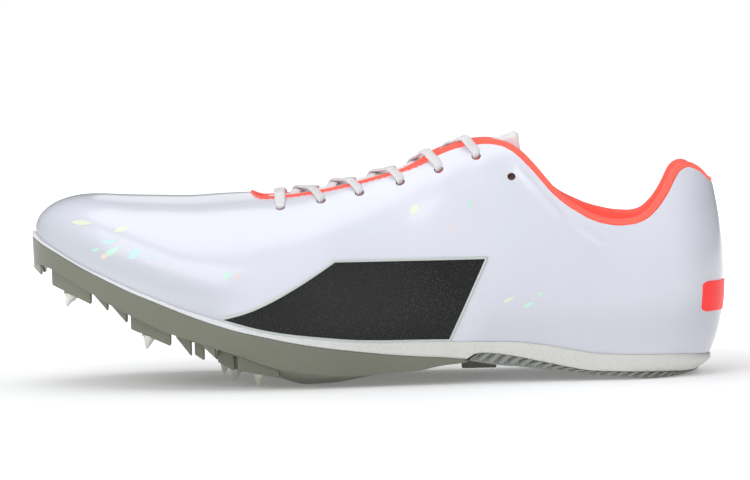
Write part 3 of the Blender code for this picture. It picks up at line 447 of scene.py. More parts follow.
def turn_at_rise(rise, side):
    """Turn of the point at a share of the section's rise. side is -1 lateral, 1 medial."""
    quarter = np.arcsin(np.clip(rise, 0, 1))
    return quarter if side < 0 else math.pi - quarter


def turn_at_height(along, height, side):
    feather = feather_height(along)
    return turn_at_rise((height - feather) / (ridge_height(along) - feather), side)


def turn_at_across(along, distance):
    """Turn of the point on the section's top at a signed distance from the ridge."""
    square = follow(LAST_SECTIONS, "square", along)
    share = np.clip(np.abs(distance) / np.maximum(half_breadth(along), 1e-6), 0, 1)
    quarter = np.arcsin((1 - share ** square) ** (1 / square))
    return np.where(np.asarray(distance) < 0, quarter, math.pi - quarter)


def edge_turn(along, side):
    """Turn at the upper's top edge: the collar and throat, or the ridge where the vamp is closed."""
    along = np.asarray(along, float)
    feather = feather_height(along)
    rise_by_height = height_of(EDGE_LINE, along) - feather
    if side > 0:
        lead = smooth_step((along - 0.01) / 0.05) * (1 - smooth_step((along - 0.10) / 0.08))
        hump = np.exp(-((along - 0.185) / 0.055) ** 2)
        rise_by_height = height_of(EDGE_LINE, along + COLLAR_MEDIAL_LEAD * lead) - feather
        rise_by_height = rise_by_height + COLLAR_MEDIAL_RISE * hump
    by_height = rise_by_height / np.maximum(ridge_height(along) - feather, 1e-6)
    throat = THROAT_HALF_WIDTH + THROAT_FLARE * smooth_step((along - 0.50) / 0.14)
    throat = throat * cap((THROAT_FRONT - along) * LENGTH, THROAT_END_LENGTH, CAP_POWER)
    by_width = np.sin(turn_at_across(along, -throat))
    weight = smooth_step((along - COLLAR_START + 0.02) / 0.04)
    rise = by_height * (1 - weight) + by_width * weight
    rise = np.where(along >= THROAT_FRONT, 1.0, rise)
    return turn_at_rise(rise, side)


def rounded_steps(start, end, count, tight_start=False, tight_end=False):
    """Places from start to end, closer together at a rounded end."""
    t = np.linspace(0, 1, count + 1)
    if tight_start and tight_end:
        t = (1 - np.cos(math.pi * t)) / 2
    elif tight_start:
        t = 1 - np.cos(math.pi / 2 * t)
    elif tight_end:
        t = np.sin(math.pi / 2 * t)
    return start + (end - start) * t


def upper_stations(fine):
    parts = [
        rounded_steps(0.0, 0.12, 10 * fine, tight_start=True),
        rounded_steps(0.12, 0.36, 12 * fine)[1:],
        rounded_steps(0.36, 0.62, 10 * fine)[1:],
        rounded_steps(0.62, THROAT_FRONT, 7 * fine, tight_end=True)[1:],
        rounded_steps(THROAT_FRONT, 0.90, 9 * fine)[1:],
        rounded_steps(0.90, TOE_TIP, 9 * fine, tight_end=True)[1:],
    ]
    return np.concatenate(parts)


def feather_outline(places, grow):
    """Both sides of the last's bottom edge, grown outward in plan. Returns (lateral, medial) points."""
    places = np.asarray(places, float)
    sides = []
    fine = np.clip(np.stack([places - 4e-4, places + 4e-4]), 0.0, TOE_TIP)
    for turn, way in ((0.0, -1.0), (math.pi, 1.0)):
        point = last_point(places, turn)
        run = last_point(fine[1], turn) - last_point(fine[0], turn)
        outward = np.stack([-run[:, 1], run[:, 0], np.zeros(len(places))], axis=-1) * -way
        at_end = (places <= 1e-9) | (places >= TOE_TIP - 1e-9)
        end_way = np.where(places < 0.5, 1.0, -1.0)
        outward[at_end] = np.stack([end_way, 0 * end_way, 0 * end_way], axis=-1)[at_end]
        outward /= np.linalg.norm(outward, axis=-1, keepdims=True)
        sides.append(point + outward * np.broadcast_to(grow, places.shape)[:, None])
    return sides


def ledge(places):
    """How far the sole stands out beyond the upper."""
    toe = smooth_step((places - 0.75) / 0.2)
    heel = smooth_step((0.12 - places) / 0.12)
    return LEDGE + (TOE_LEDGE - LEDGE) * toe + (HEEL_LEDGE - LEDGE) * heel


def heel_draw_in(places):
    """How much the sole's lower edge draws in round the heel."""
    return HEEL_DRAW_IN * smooth_step((0.16 - places) / 0.16)


# The frame's small shift from the last's own place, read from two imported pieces
upper_low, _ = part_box("upper")
spike_low, spike_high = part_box("spike_6")
SHIFT = np.array([
    upper_low[0] - (0.5 - TOE_TIP) * LENGTH,
    (spike_low[1] + spike_high[1]) / 2 - SPIKES[5]["across"] * BREADTH,
    0.0,
])


def mesh_object(name, points, faces, weld=1e-6):
    """Object from points and faces, with points that coincide welded and faces turned outward."""
    bm = bmesh.new()
    verts = [bm.verts.new(Vector(p) + Vector(SHIFT)) for p in points]
    for face in faces:
        bm.faces.new([verts[i] for i in face])
    bmesh.ops.remove_doubles(bm, verts=bm.verts, dist=weld)
    bmesh.ops.dissolve_degenerate(bm, edges=bm.edges, dist=1e-7)
    bmesh.ops.recalc_face_normals(bm, faces=bm.faces)
    mesh = bpy.data.meshes.new(name)
    bm.to_mesh(mesh)
    bm.free()
    mesh.shade_smooth()
    thing = bpy.data.objects.new(name, mesh)
    bpy.context.scene.collection.objects.link(thing)
    return thing


def grid_faces(rows, columns, closed_rows=False, closed_columns=False):
    faces = []
    for i in range(rows if closed_rows else rows - 1):
        for j in range(columns if closed_columns else columns - 1):
            k, m = (i + 1) % rows, (j + 1) % columns
            faces.append((i * columns + j, i * columns + m, k * columns + m, k * columns + j))
    return faces


def loft(name, rings, loop=False, cap_first=True, cap_last=True):
    """Solid through closed rings of as many points each."""
    rings = np.asarray(rings)
    count, points = rings.shape[:2]
    faces = grid_faces(count, points, closed_rows=loop, closed_columns=True)
    if not loop and cap_first:
        faces.append(tuple(range(points)))
    if not loop and cap_last:
        faces.append(tuple((count - 1) * points + i for i in range(points)))
    return mesh_object(name, rings.reshape(-1, 3), faces)


def joined(name, meshes):
    """One object from several (points, faces) pairs."""
    points, faces = [], []
    for some_points, some_faces in meshes:
        start = len(points)
        points.extend(some_points)
        faces.extend(tuple(start + i for i in face) for face in some_faces)
    return mesh_object(name, points, faces)


def cylinder(start, end, radius, sides=32):
    """Points and faces of a round bar between two points."""
    start, end = Vector(start), Vector(end)
    turn = (end - start).to_track_quat("Z", "Y")
    points = []
    for base in (start, end):
        for i in range(sides):
            angle = 2 * math.pi * i / sides
            points.append(base + turn @ Vector((math.cos(angle) * radius, math.sin(angle) * radius, 0)))
    faces = [tuple(range(sides)), tuple(range(sides, 2 * sides))]
    faces += [(i, (i + 1) % sides, sides + (i + 1) % sides, sides + i) for i in range(sides)]
    return points, faces


def boolean(thing, tool, operation, crossing_parts=False):
    """Cut or join a tool that is deleted once the piece is settled. crossing_parts is for a tool
    whose own parts may overlap."""
    tool.hide_render = True
    modifier = thing.modifiers.new(operation.title(), "BOOLEAN")
    modifier.operation = operation
    modifier.solver = "EXACT"
    modifier.use_self = crossing_parts
    modifier.object = tool


def settle(thing, sharp_degrees=40.0):
    """Apply a piece's modifiers, delete their tools and keep its edges crisp past an angle."""
    tools = [m.object for m in thing.modifiers if m.type == "BOOLEAN"]
    depsgraph = bpy.context.evaluated_depsgraph_get()
    made = bpy.data.meshes.new_from_object(thing.evaluated_get(depsgraph), depsgraph=depsgraph)
    old = thing.data
    thing.modifiers.clear()
    thing.data = made
    made.name = thing.name
    bpy.data.meshes.remove(old)
    for tool in tools:
        bpy.data.objects.remove(tool, do_unlink=True)
    made.shade_smooth()
    made.set_sharp_from_angle(angle=math.radians(sharp_degrees))
    return thing


def dressed(thing, slot, *materials, nodes=()):
    """Give a piece its materials and its body, and hide the frame's pieces that it stands for. slot is not
    used.
    """
    thing.data.materials.clear()
    for material in materials:
        thing.data.materials.append(material)
    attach(thing, "root")
    if nodes:
        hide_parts(*nodes)
    return thing


# Materials
def shader_of(name, colour, roughness, **sockets):
    made = bpy.data.materials.new(name)
    made.use_nodes = True
    shader = made.node_tree.nodes["Principled BSDF"]
    shader.inputs["Base Color"].default_value = (*colour, 1.0)
    shader.inputs["Roughness"].default_value = roughness
    for socket, value in sockets.items():
        shader.inputs[socket.replace("_", " ")].default_value = value
    return made, made.node_tree, shader


def plug(tree, value, socket):
    if isinstance(value, bpy.types.NodeSocket):
        tree.links.new(value, socket)
    elif isinstance(value, tuple) and len(value) == 3 and socket.type == "RGBA":
        socket.default_value = (*value, 1.0)
    else:
        socket.default_value = value


def texture(tree, kind, vector, settings=None, **inputs):
    made = tree.nodes.new("ShaderNodeTex" + kind)
    for name, value in (settings or {}).items():
        setattr(made, name, value)
    tree.links.new(vector, made.inputs["Vector"])
    for name, value in inputs.items():
        plug(tree, value, made.inputs[name])
    return made


def object_place(tree, scale=(1.0, 1.0, 1.0), rotation=(0.0, 0.0, 0.0)):
    """Coordinates in metres on the object, scaled and turned."""
    place = tree.nodes.new("ShaderNodeTexCoord")
    mapping = tree.nodes.new("ShaderNodeMapping")
    mapping.inputs["Scale"].default_value = scale
    mapping.inputs["Rotation"].default_value = rotation
    tree.links.new(place.outputs["Object"], mapping.inputs["Vector"])
    return mapping.outputs["Vector"]


def maths(tree, operation, first, second=0.0, third=0.0, clamp=False):
    made = tree.nodes.new("ShaderNodeMath")
    made.operation = operation
    made.use_clamp = clamp
    for socket, value in zip(made.inputs, (first, second, third)):
        plug(tree, value, socket)
    return made.outputs[0]


def mix_colour(tree, share, first, second):
    made = tree.nodes.new("ShaderNodeMix")
    made.data_type = "RGBA"
    plug(tree, share, made.inputs[0])
    plug(tree, first, made.inputs[6])
    plug(tree, second, made.inputs[7])
    return made.outputs[2]


def ramp(tree, value, stops):
    made = tree.nodes.new("ShaderNodeValToRGB")
    elements = made.color_ramp.elements
    while len(elements) < len(stops):
        elements.new(0.5)
    for element, (place, colour) in zip(elements, stops):
        element.position = place
        element.color = (*colour, 1.0)
    plug(tree, value, made.inputs[0])
    return made.outputs[0]


def attribute(tree, name):
    made = tree.nodes.new("ShaderNodeAttribute")
    made.attribute_name = name
    return made.outputs["Fac"]


def add_bump(tree, shader, height, distance, strength=1.0):
    """Bump on top of any bump that the shader already has."""
    made = tree.nodes.new("ShaderNodeBump")
    made.inputs["Strength"].default_value = strength
    made.inputs["Distance"].default_value = distance
    plug(tree, height, made.inputs["Height"])
    before = shader.inputs["Normal"].links
    if before:
        tree.links.new(before[0].from_socket, made.inputs["Normal"])
    tree.links.new(made.outputs["Normal"], shader.inputs["Normal"])
    return made


def make_grained(name, colour, roughness, grain, tones, bump=0.0, **sockets):
    """Material whose tone runs between two colours with a grain, given as scale and detail."""
    made, tree, shader = shader_of(name, colour, roughness, **sockets)
    noise = texture(tree, "Noise", object_place(tree), Scale=grain[0], Detail=grain[1])
    tree.links.new(mix_colour(tree, noise.outputs["Fac"], *tones), shader.inputs["Base Color"])
    if bump:
        add_bump(tree, shader, noise.outputs["Fac"], bump)
    return made


def make_patent():
    """Pearl white patent: cloudy white film under a clear coat, greyer with painted shade where "shade" says.
    """
    made, tree, shader = shader_of("patent_pearl", PATENT_COOL, 0.34, Coat_Weight=0.8, Coat_Roughness=0.14)
    place = object_place(tree)
    cloud = texture(tree, "Noise", place, Scale=22.0, Detail=3.0)
    base = mix_colour(tree, cloud.outputs["Fac"], PATENT_COOL, PATENT_LILAC)
    # Painted shade: the film goes toward grey where the "shade" attribute says
    film_with_painted_shade = mix_colour(tree, attribute(tree, "shade"), base, PATENT_PAINTED_SHADE)
    tree.links.new(film_with_painted_shade, shader.inputs["Base Color"])
    film = texture(tree, "Noise", place, Scale=70.0, Detail=2.0)
    add_bump(tree, shader, film.outputs["Fac"], 0.0005, strength=0.5)
    orange_peel = texture(tree, "Noise", place, Scale=420.0, Detail=1.0)
    add_bump(tree, shader, orange_peel.outputs["Fac"], 0.00004)
    return made


def make_sliver_film():
    made, tree, shader = shader_of("sliver_film", PATENT_COOL, 0.3, Coat_Weight=0.8, Coat_Roughness=0.14)
    stops = [(place - 0.1, colour) for place, colour in TINTS.values()]
    tint = ramp(tree, attribute(tree, "tint"), stops)
    tint.node.color_ramp.interpolation = "CONSTANT"
    speckle = texture(tree, "Noise", object_place(tree), Scale=900.0, Detail=1.0)
    share = maths(tree, "MULTIPLY", speckle.outputs["Fac"], 0.5)
    tree.links.new(mix_colour(tree, share, tint, PATENT_COOL), shader.inputs["Base Color"])
    return made


def make_panel_black():
    """Black satin with fine flecks and a painted highlight: a lighter patch in its base colour."""
    made, tree, shader = shader_of("panel_black", PANEL_BLACK, 0.45, Coat_Weight=0.06, Coat_Roughness=0.22)
    shader.inputs["Specular IOR Level"].default_value = 0.25
    place = object_place(tree)
    grain = texture(tree, "Noise", place, Scale=2600.0, Detail=2.0)
    fleck = maths(tree, "GREATER_THAN", grain.outputs["Fac"], 0.60)
    cloud = texture(tree, "Noise", place, Scale=60.0, Detail=3.0)
    share = maths(tree, "MULTIPLY", fleck, cloud.outputs["Fac"])
    flecked = mix_colour(tree, share, PANEL_BLACK, PANEL_FLECK)
    # Painted highlight: a lighter patch near the panel's upper front
    offset = tree.nodes.new("ShaderNodeMapping")
    offset.inputs["Location"].default_value = (0.25, 0.0, -1.9)
    offset.inputs["Scale"].default_value = (1 / 0.040, 0.0, 1 / 0.020)
    tree.links.new(place, offset.inputs["Vector"])
    away = tree.nodes.new("ShaderNodeVectorMath")
    away.operation = "LENGTH"
    tree.links.new(offset.outputs["Vector"], away.inputs[0])
    painted_sheen = ramp(tree, away.outputs["Value"], [(0.0, (0.22,) * 3), (0.45, (0.14,) * 3), (1.0, (0.0,) * 3)])
    tree.links.new(mix_colour(tree, painted_sheen, flecked, (0.085, 0.086, 0.084)), shader.inputs["Base Color"])
    leather = texture(tree, "Voronoi", object_place(tree, scale=(900.0, 900.0, 1500.0)), Scale=1.0)
    add_bump(tree, shader, leather.outputs["Distance"], 0.00006)
    add_bump(tree, shader, grain.outputs["Fac"], 0.00005)
    return made


def make_piping_silver():
    made, tree, shader = shader_of("piping_silver", PIPING_SILVER, 0.38, Metallic=0.2)
    grain = texture(tree, "Noise", object_place(tree), Scale=1500.0, Detail=2.0)
    add_bump(tree, shader, grain.outputs["Fac"], 0.00004)
    roughness = ramp(tree, grain.outputs["Fac"], [(0.3, (0.30,) * 3), (0.7, (0.5,) * 3)])
    tree.links.new(roughness, shader.inputs["Roughness"])
    return made


def make_knit(name, colour, shade, pitch, glow):
    """Fine knitted cloth: rows of small loops, slightly uneven in tone, with painted shade between
    them. It gives off some light of its own, less where it faces up: painted light that brightens its
    sides and undersides."""
    made, tree, shader = shader_of(name, colour, 0.72, Sheen_Weight=0.25, Sheen_Roughness=0.5)
    # Painted light: the cloth glows, less on faces that point up
    facing = tree.nodes.new("ShaderNodeNewGeometry")
    split = tree.nodes.new("ShaderNodeSeparateXYZ")
    tree.links.new(facing.outputs["Normal"], split.inputs[0])
    upward = maths(tree, "MAXIMUM", split.outputs["Z"], 0.0)
    shader.inputs["Emission Color"].default_value = (*colour, 1.0)
    strength = maths(tree, "MULTIPLY_ADD", upward, -0.65 * glow, glow)
    tree.links.new(strength, shader.inputs["Emission Strength"])
    place = object_place(tree, scale=(1 / pitch, 1 / pitch, 1.4 / pitch))
    loops = texture(
        tree, "Voronoi", place, {"feature": "SMOOTH_F1"}, Scale=1.0, Smoothness=0.3, Randomness=0.35,
    )
    tone = texture(tree, "Noise", object_place(tree), Scale=120.0, Detail=3.0)
    # Painted shade: darker toward the gaps between the loops
    share = maths(tree, "MULTIPLY", loops.outputs["Distance"], 0.9, clamp=True)
    dark = mix_colour(tree, share, colour, shade)
    tree.links.new(mix_colour(tree, tone.outputs["Fac"], colour, dark), shader.inputs["Base Color"])
    height = maths(tree, "SUBTRACT", 1.0, loops.outputs["Distance"])
    add_bump(tree, shader, height, pitch * 0.25)
    return made


def make_lace_cloth():
    """Flat woven lace: crossed diagonal threads, read from the cord's own length and girth."""
    made, tree, shader = shader_of("lace_cloth", LACE_WHITE, 0.85, Sheen_Weight=0.2)
    threads = tree.nodes.new("ShaderNodeUVMap")
    threads.uv_map = "weave"
    waves = []
    for turn in (35.0, -35.0):
        mapping = tree.nodes.new("ShaderNodeMapping")
        mapping.inputs["Rotation"].default_value = (0.0, 0.0, math.radians(turn))
        tree.links.new(threads.outputs["UV"], mapping.inputs["Vector"])
        wave = texture(tree, "Wave", mapping.outputs["Vector"], Scale=0.55, Distortion=0.3)
        waves.append(wave.outputs["Fac"])
    woven = maths(tree, "MULTIPLY", waves[0], waves[1])
    shadow = (0.76, 0.74, 0.76)
    deep = maths(tree, "MULTIPLY", maths(tree, "SUBTRACT", 1.0, woven), 0.22)
    tree.links.new(mix_colour(tree, deep, LACE_WHITE, shadow), shader.inputs["Base Color"])
    add_bump(tree, shader, woven, 0.00012)
    return made


def make_foam():
    """Moulded foam with fine slanted lines on its side and a faint pitted skin."""
    made, tree, shader = shader_of("foam_white", FOAM_WHITE, 0.55, Coat_Weight=0.1)
    lines = texture(
        tree, "Wave", object_place(tree, rotation=(0.0, math.radians(35.0), 0.0)),
        {"bands_direction": "X"}, Scale=170.0, Distortion=0.6,
    )
    pits = texture(tree, "Noise", object_place(tree), Scale=700.0, Detail=3.0)
    tone = mix_colour(tree, pits.outputs["Fac"], (0.72, 0.72, 0.675), (0.80, 0.80, 0.755))
    split = tree.nodes.new("ShaderNodeSeparateXYZ")
    tree.links.new(object_place(tree), split.inputs[0])
    toward_toe = maths(tree, "MULTIPLY_ADD", split.outputs["X"], -14.0, 0.1, clamp=True)
    tree.links.new(mix_colour(tree, toward_toe, tone, (0.84, 0.84, 0.87)), shader.inputs["Base Color"])
    add_bump(tree, shader, lines.outputs["Fac"], 0.00010)
    add_bump(tree, shader, pits.outputs["Fac"], 0.00004)
    return made


def make_plate_plastic():
    made, tree, shader = shader_of("plate_plastic", PLATE_GREY, 0.42, Coat_Weight=0.15, Coat_Roughness=0.3)
    grain = texture(tree, "Noise", object_place(tree), Scale=1100.0, Detail=2.0)
    broad = texture(tree, "Noise", object_place(tree), Scale=25.0, Detail=2.0)
    tone = mix_colour(tree, broad.outputs["Fac"], (0.170, 0.176, 0.128), (0.215, 0.222, 0.170))
    tree.links.new(tone, shader.inputs["Base Color"])
    add_bump(tree, shader, grain.outputs["Fac"], 0.00006)
    return made


def make_steel():
    made, tree, shader = shader_of("turned_steel", STEEL, 0.28, Metallic=0.75)
    turning = texture(tree, "Wave", object_place(tree), {"bands_direction": "Z"}, Scale=900.0, Distortion=1.0)
    roughness = ramp(tree, turning.outputs["Fac"], [(0.0, (0.20,) * 3), (1.0, (0.36,) * 3)])
    tree.links.new(roughness, shader.inputs["Roughness"])
    add_bump(tree, shader, turning.outputs["Fac"], 0.00003)
    return made


patent = make_patent()
sliver_film = make_sliver_film()
# Painted shade: dark grey walls of the lace holes
hole_wall_painted_shade = make_grained("hole_edge_painted_shade", (0.16, 0.155, 0.15), 0.8, (1500.0, 2.0),
                         ((0.11, 0.10, 0.10), (0.22, 0.21, 0.20)))
# Painted shade: dark red for the discs behind the spare holes
hole_backing_painted_shade = make_grained("hole_backing_painted_shade", (0.14, 0.06, 0.05), 0.9, (1200.0, 2.0),
                          ((0.10, 0.07, 0.065), (0.26, 0.20, 0.18)))
panel_black = make_panel_black()
piping_silver = make_piping_silver()
# Each knit's third colour is painted shade between its loops; its last number is the strength of its painted
# glow
collar_knit = make_knit("coral_knit", CORAL, (0.75, 0.07, 0.05), 0.0011, 0.45)
lining_cloth = make_knit("lining_cloth", CORAL_DEEP, (0.55, 0.02, 0.02), 0.0009, 0.30)
insole_cloth = make_knit("insole_cloth", CORAL_DEEP, (0.50, 0.02, 0.02), 0.0008, 0.10)
lace_cloth = make_lace_cloth()
tongue_cloth = make_grained("tongue_cloth", (0.92, 0.93, 0.95), 0.5, (900.0, 2.0),
                            ((0.90, 0.91, 0.94), (0.94, 0.95, 0.97)), 0.00005, Coat_Weight=0.2)
foam = make_foam()
plate_plastic = make_plate_plastic()
rubber = make_grained("heel_rubber", RUBBER_GREY, 0.7, (900.0, 4.0),
                      ((0.27, 0.28, 0.26), (0.36, 0.37, 0.345)), 0.00010)
# The heel tab's red glow is painted light
tab_red_painted_glow = make_grained("tab_red_painted_glow", (0.92, 0.03, 0.03), 0.45, (800.0, 2.0),
                       ((0.86, 0.02, 0.02), (0.96, 0.035, 0.03)), 0.00004, Coat_Weight=0.1,
                       Emission_Color=(0.95, 0.02, 0.02, 1.0), Emission_Strength=0.25)
steel = make_steel()


# Upper
def painted_shade_share(along, turn):
    """How far the painted shade takes the pearl film toward grey at a place."""
    point = last_point(along, turn)
    return np.clip(sum(tone["dark"] * line_share(tone, point) for tone in PAINTED_SHADE_LINES), 0, 1)


def make_upper():
    stations = upper_stations(5)
    columns = 68
    points, faces, painted_shades = [], [], []
    for side in (-1, 1):
        start = len(points)
        top = edge_turn(stations, side)
        bottom = 0.0 if side < 0 else math.pi
        shares = np.linspace(0, 1, columns + 1)
        turns = bottom + (top[:, None] - bottom) * shares
        places = np.repeat(stations[:, None], columns + 1, axis=1)
        grid = upper_point(places, turns)
        at_end = (places <= 1e-9) | (places >= TOE_TIP - 1e-9)
        grid[at_end] = last_point(places[at_end], turns[at_end])
        closed_top = (np.abs(shares - 1) < 1e-9)[None, :] & (stations >= THROAT_FRONT - 1e-9)[:, None]
        grid[closed_top] = last_point(places, turns)[closed_top]
        points.extend(grid.reshape(-1, 3))
        painted_shades.extend(painted_shade_share(places, turns).reshape(-1))
        faces += [tuple(start + i for i in face) for face in grid_faces(len(stations), columns + 1)]
    upper = mesh_object("upper_patent", points, faces)
    # Painted shade of the pearl film, kept on each point as "shade"
    layer = upper.data.attributes.new("shade", "FLOAT", "POINT")
    nearest = KDTree(len(points))
    for i, point in enumerate(points):
        nearest.insert(Vector(point) + Vector(SHIFT), i)
    nearest.balance()
    for i, vertex in enumerate(upper.data.vertices):
        layer.data[i].value = painted_shades[nearest.find(vertex.co)[1]]
    wall = upper.modifiers.new("Wall", "SOLIDIFY")
    wall.thickness = UPPER_WALL
    wall.offset = -1.0
    wall.use_even_offset = True
    wall.use_quality_normals = True
    wall.material_offset = 1
    wall.material_offset_rim = 0
    holes = []
    for side in (-1, 1):
        for place, rise in EYELETS + (SPARE_EYELET,):
            turn = turn_at_rise(rise, side)
            radius = SPARE_EYELET_RADIUS if (place, rise) == SPARE_EYELET else EYELET_RADIUS
            inner = shell_point(place, turn, -2.2 * UPPER_WALL)
            outer = shell_point(place, turn, 2.2 * UPPER_WALL)
            holes.append(cylinder(inner, outer, radius))
    upper.data.materials.append(patent)
    upper.data.materials.append(lining_cloth)
    cutter = joined("lace_hole_cutter", holes)
    # The lace holes' walls take the cutter's painted shade
    cutter.data.materials.append(hole_wall_painted_shade)
    boolean(upper, cutter, "DIFFERENCE")
    upper.modifiers[-1].material_mode = "TRANSFER"
    settle(upper)
    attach(upper, "root")
    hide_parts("upper")
    return upper


def make_slivers():
    """Pastel slivers that lie on the film, on both sides."""
    half_widths = (0.30, 0.90, 1.00, 0.55, 0.15)
    points, faces, tints = [], [], []
    for side in (-1, 1):
        for sliver in SLIVERS:
            start, end = line_ends(sliver)
            run = end - start
            across = np.array([-run[1], run[0]]) / np.linalg.norm(run) * sliver["width"] / 2
            base = len(points)
            for share, half in zip(np.linspace(0, 1, len(half_widths)), half_widths):
                for way in (-1, 0, 1):
                    x, z = start + run * share + across * half * way
                    along = along_of(x)
                    points.append(upper_point(along, turn_at_height(along, z, side), SLIVER_LIFT))
                    tints.append(TINTS[sliver["tint"]][0])
            faces += [tuple(base + i for i in face) for face in grid_faces(len(half_widths), 3)]
    slivers = mesh_object("pearl_slivers", points, faces, weld=1e-9)
    layer = slivers.data.attributes.new("tint", "FLOAT", "POINT")
    layer.data.foreach_set("value", tints)
    return dressed(slivers, "upper", sliver_film)


def make_hole_backing():
    """What shows dark behind the two spare holes: discs in painted shade."""
    place, rise = SPARE_EYELET
    discs = []
    for side in (-1, 1):
        turn = turn_at_rise(rise, side)
        discs.append(cylinder(shell_point(place, turn, -1.35 * UPPER_WALL),
                              shell_point(place, turn, -1.15 * UPPER_WALL), 1.4 * SPARE_EYELET_RADIUS))
    backing = joined("spare_hole_backing", discs)
    return dressed(backing, "lining", hole_backing_painted_shade)


def opening_loop(fine):
    """The upper's top edge as one closed loop: along, turn and side at each place."""
    stations = [s for s in upper_stations(fine) if s <= THROAT_FRONT + 1e-9]
    lateral = [(s, float(edge_turn(s, -1))) for s in stations]
    medial = [(s, float(edge_turn(s, 1))) for s in stations[1:-1]]
    return lateral + medial[::-1]


def turns_below_edge(along, turn, depths):
    """Turns of the points given lengths down the wall from the top edge."""
    bottom = 0.05 if turn < math.pi / 2 else math.pi - 0.05
    turns = np.linspace(turn, bottom, 240)
    points = last_point(along, turns)
    reach = np.concatenate([[0], np.cumsum(np.linalg.norm(np.diff(points, axis=0), axis=1))])
    return [float(np.interp(depth, reach, turns)) for depth in depths]


def edge_frames(loop):
    """For each place round the opening: its point, outward normal and the way up past the edge."""
    edge = np.array([last_point(s, t) for s, t in loop])
    run = np.roll(edge, -1, axis=0) - np.roll(edge, 1, axis=0)
    frames = []
    for (place, turn), point, forward in zip(loop, edge, run):
        normal = last_normal(place, turn)
        up = np.cross(forward, normal)
        up /= np.linalg.norm(up)
        toward = np.array([0.12 * LENGTH, 0.0, HEIGHT]) - point if place > 0.6 else np.array([0, 0, 1.0])
        frames.append((point, normal, up if np.dot(up, toward) > 0 else -up))
    return frames


def make_collar():
    """Padded roll round the collar that thins to a bound edge round the throat."""
    loop = opening_loop(4)
    rings = []
    for (place, turn), (point, normal, up) in zip(loop, edge_frames(loop)):
        names = ("thickness", "proud", "depth", "lift")
        thick, proud, depth, lift = (float(follow(LINING, name, place)) for name in names)
        raised = normal * lift
        inner_face = UPPER_WALL + LINING_GAP
        if place > 0.60:
            low = [(point - up * d, normal) for d in (depth, depth / 2)]
        else:
            turns = turns_below_edge(place, turn, (depth, depth / 2))
            low = [(last_point(place, t), last_normal(place, t)) for t in turns]
        lip = CLEARANCE
        rings.append([
            low[0][0] - low[0][1] * inner_face,
            low[1][0] - low[1][1] * inner_face,
            point - normal * inner_face + up * lip,
            point - normal * 0.4 * UPPER_WALL + up * lip,
            point + normal * 0.08 * UPPER_WALL + up * (lip + 0.12 * proud) + 0.3 * raised,
            point + normal * 0.05 * UPPER_WALL + up * 0.62 * proud + 0.8 * raised,
            point - normal * 0.6 * UPPER_WALL + up * 1.06 * proud + raised,
            point - normal * (inner_face + 0.5 * thick) + up * 1.02 * proud + raised,
            point - normal * (inner_face + thick) + up * 0.35 * proud + 0.4 * raised,
            low[1][0] - low[1][1] * (inner_face + thick),
            low[0][0] - low[0][1] * (inner_face + 0.5 * thick),
        ])
    collar = loft("collar_roll", rings, loop=True)
    rounding = collar.modifiers.new("Rounding", "SUBSURF")
    rounding.levels = 2
    settle(collar, 80.0)
    dressed(collar, "lining", collar_knit, nodes=["collar_lining"])
    return collar


def make_throat_stitching():
    """Coral overlock teeth over the throat's edge, from the vamp back to the collar roll."""
    loop = opening_loop(8)
    edge = np.array([last_point(s, t) for s, t in loop])
    reach = np.concatenate([[0], np.cumsum(np.linalg.norm(np.diff(edge, axis=0), axis=1))])
    points = []
    kept = [place >= STITCH_FROM for place, turn in loop]
    for (place, turn), length, keep in zip(loop, reach, kept):
        if not keep:
            continue
        tooth = abs((length / STITCH_PITCH) % 1.0 - 0.5) * 2
        depth = STITCH_DEPTH + STITCH_TOOTH * tooth
        turns = [turn] + turns_below_edge(place, turn, (depth * 0.6, depth))
        rise = (0.00050, 0.00045, 0.00002)
        points.extend(shell_point(place, t, r) for t, r in zip(turns, rise))
    faces = []
    index = np.cumsum(kept) - 1
    for i in range(len(kept)):
        j = (i + 1) % len(kept)
        if kept[i] and kept[j]:
            for c in (0, 1):
                a, b = index[i] * 3, index[j] * 3
                faces.append((a + c, a + c + 1, b + c + 1, b + c))
    teeth = mesh_object("throat_stitching", points, faces)
    wall = teeth.modifiers.new("Wall", "SOLIDIFY")
    wall.thickness = STITCH_THICKNESS
    wall.offset = 1.0
    settle(teeth, 50.0)
    return dressed(teeth, "lining", collar_knit)


def tongue_offset(along, distance):
    side = UPPER_WALL + LINING_GAP + 2 * CLEARANCE + follow(LINING, "thickness", along)
    drop = smooth_step((np.abs(distance) - TONGUE_CROWN_HALF_WIDTH) / TONGUE_SLOPE_WIDTH)
    sag = follow(TONGUE_SAG, "sag", along)
    return -(TONGUE_CROWN_DEPTH + sag + (side - TONGUE_CROWN_DEPTH) * drop)


def make_tongue():
    stations = rounded_steps(TONGUE_END, TONGUE_FRONT, 110, tight_start=True)
    shares = np.linspace(-1, 1, 45)
    rows = []
    for place in stations:
        narrow = 1 - 0.25 * smooth_step((place - 0.5) / 0.15)
        tip = float(cap((place - TONGUE_END) * LENGTH + 0.0006, 0.011, 2.3))
        distance = shares * TONGUE_HALF_WIDTH * narrow * (0.30 + 0.70 * tip)
        curl = 0.0012 * (1 - cap((place - TONGUE_END) * LENGTH, 0.0030, 2.0))
        turn = turn_at_across(place, distance)
        rows.append(shell_point(place, turn, tongue_offset(place, distance) - curl))
    faces = grid_faces(len(stations), len(shares))
    tongue = mesh_object("tongue_strip", np.array(rows).reshape(-1, 3), faces)
    pad = tongue.modifiers.new("Thickness", "SOLIDIFY")
    pad.thickness = TONGUE_THICKNESS
    pad.offset = -1.0
    pad.use_even_offset = True
    edge = tongue.modifiers.new("Edge", "BEVEL")
    edge.width = 0.0005
    edge.segments = 2
    edge.limit_method = "ANGLE"
    edge.angle_limit = math.radians(50.0)
    settle(tongue, 70.0)
    dressed(tongue, "tongue", tongue_cloth, nodes=["tongue"])
    return tongue


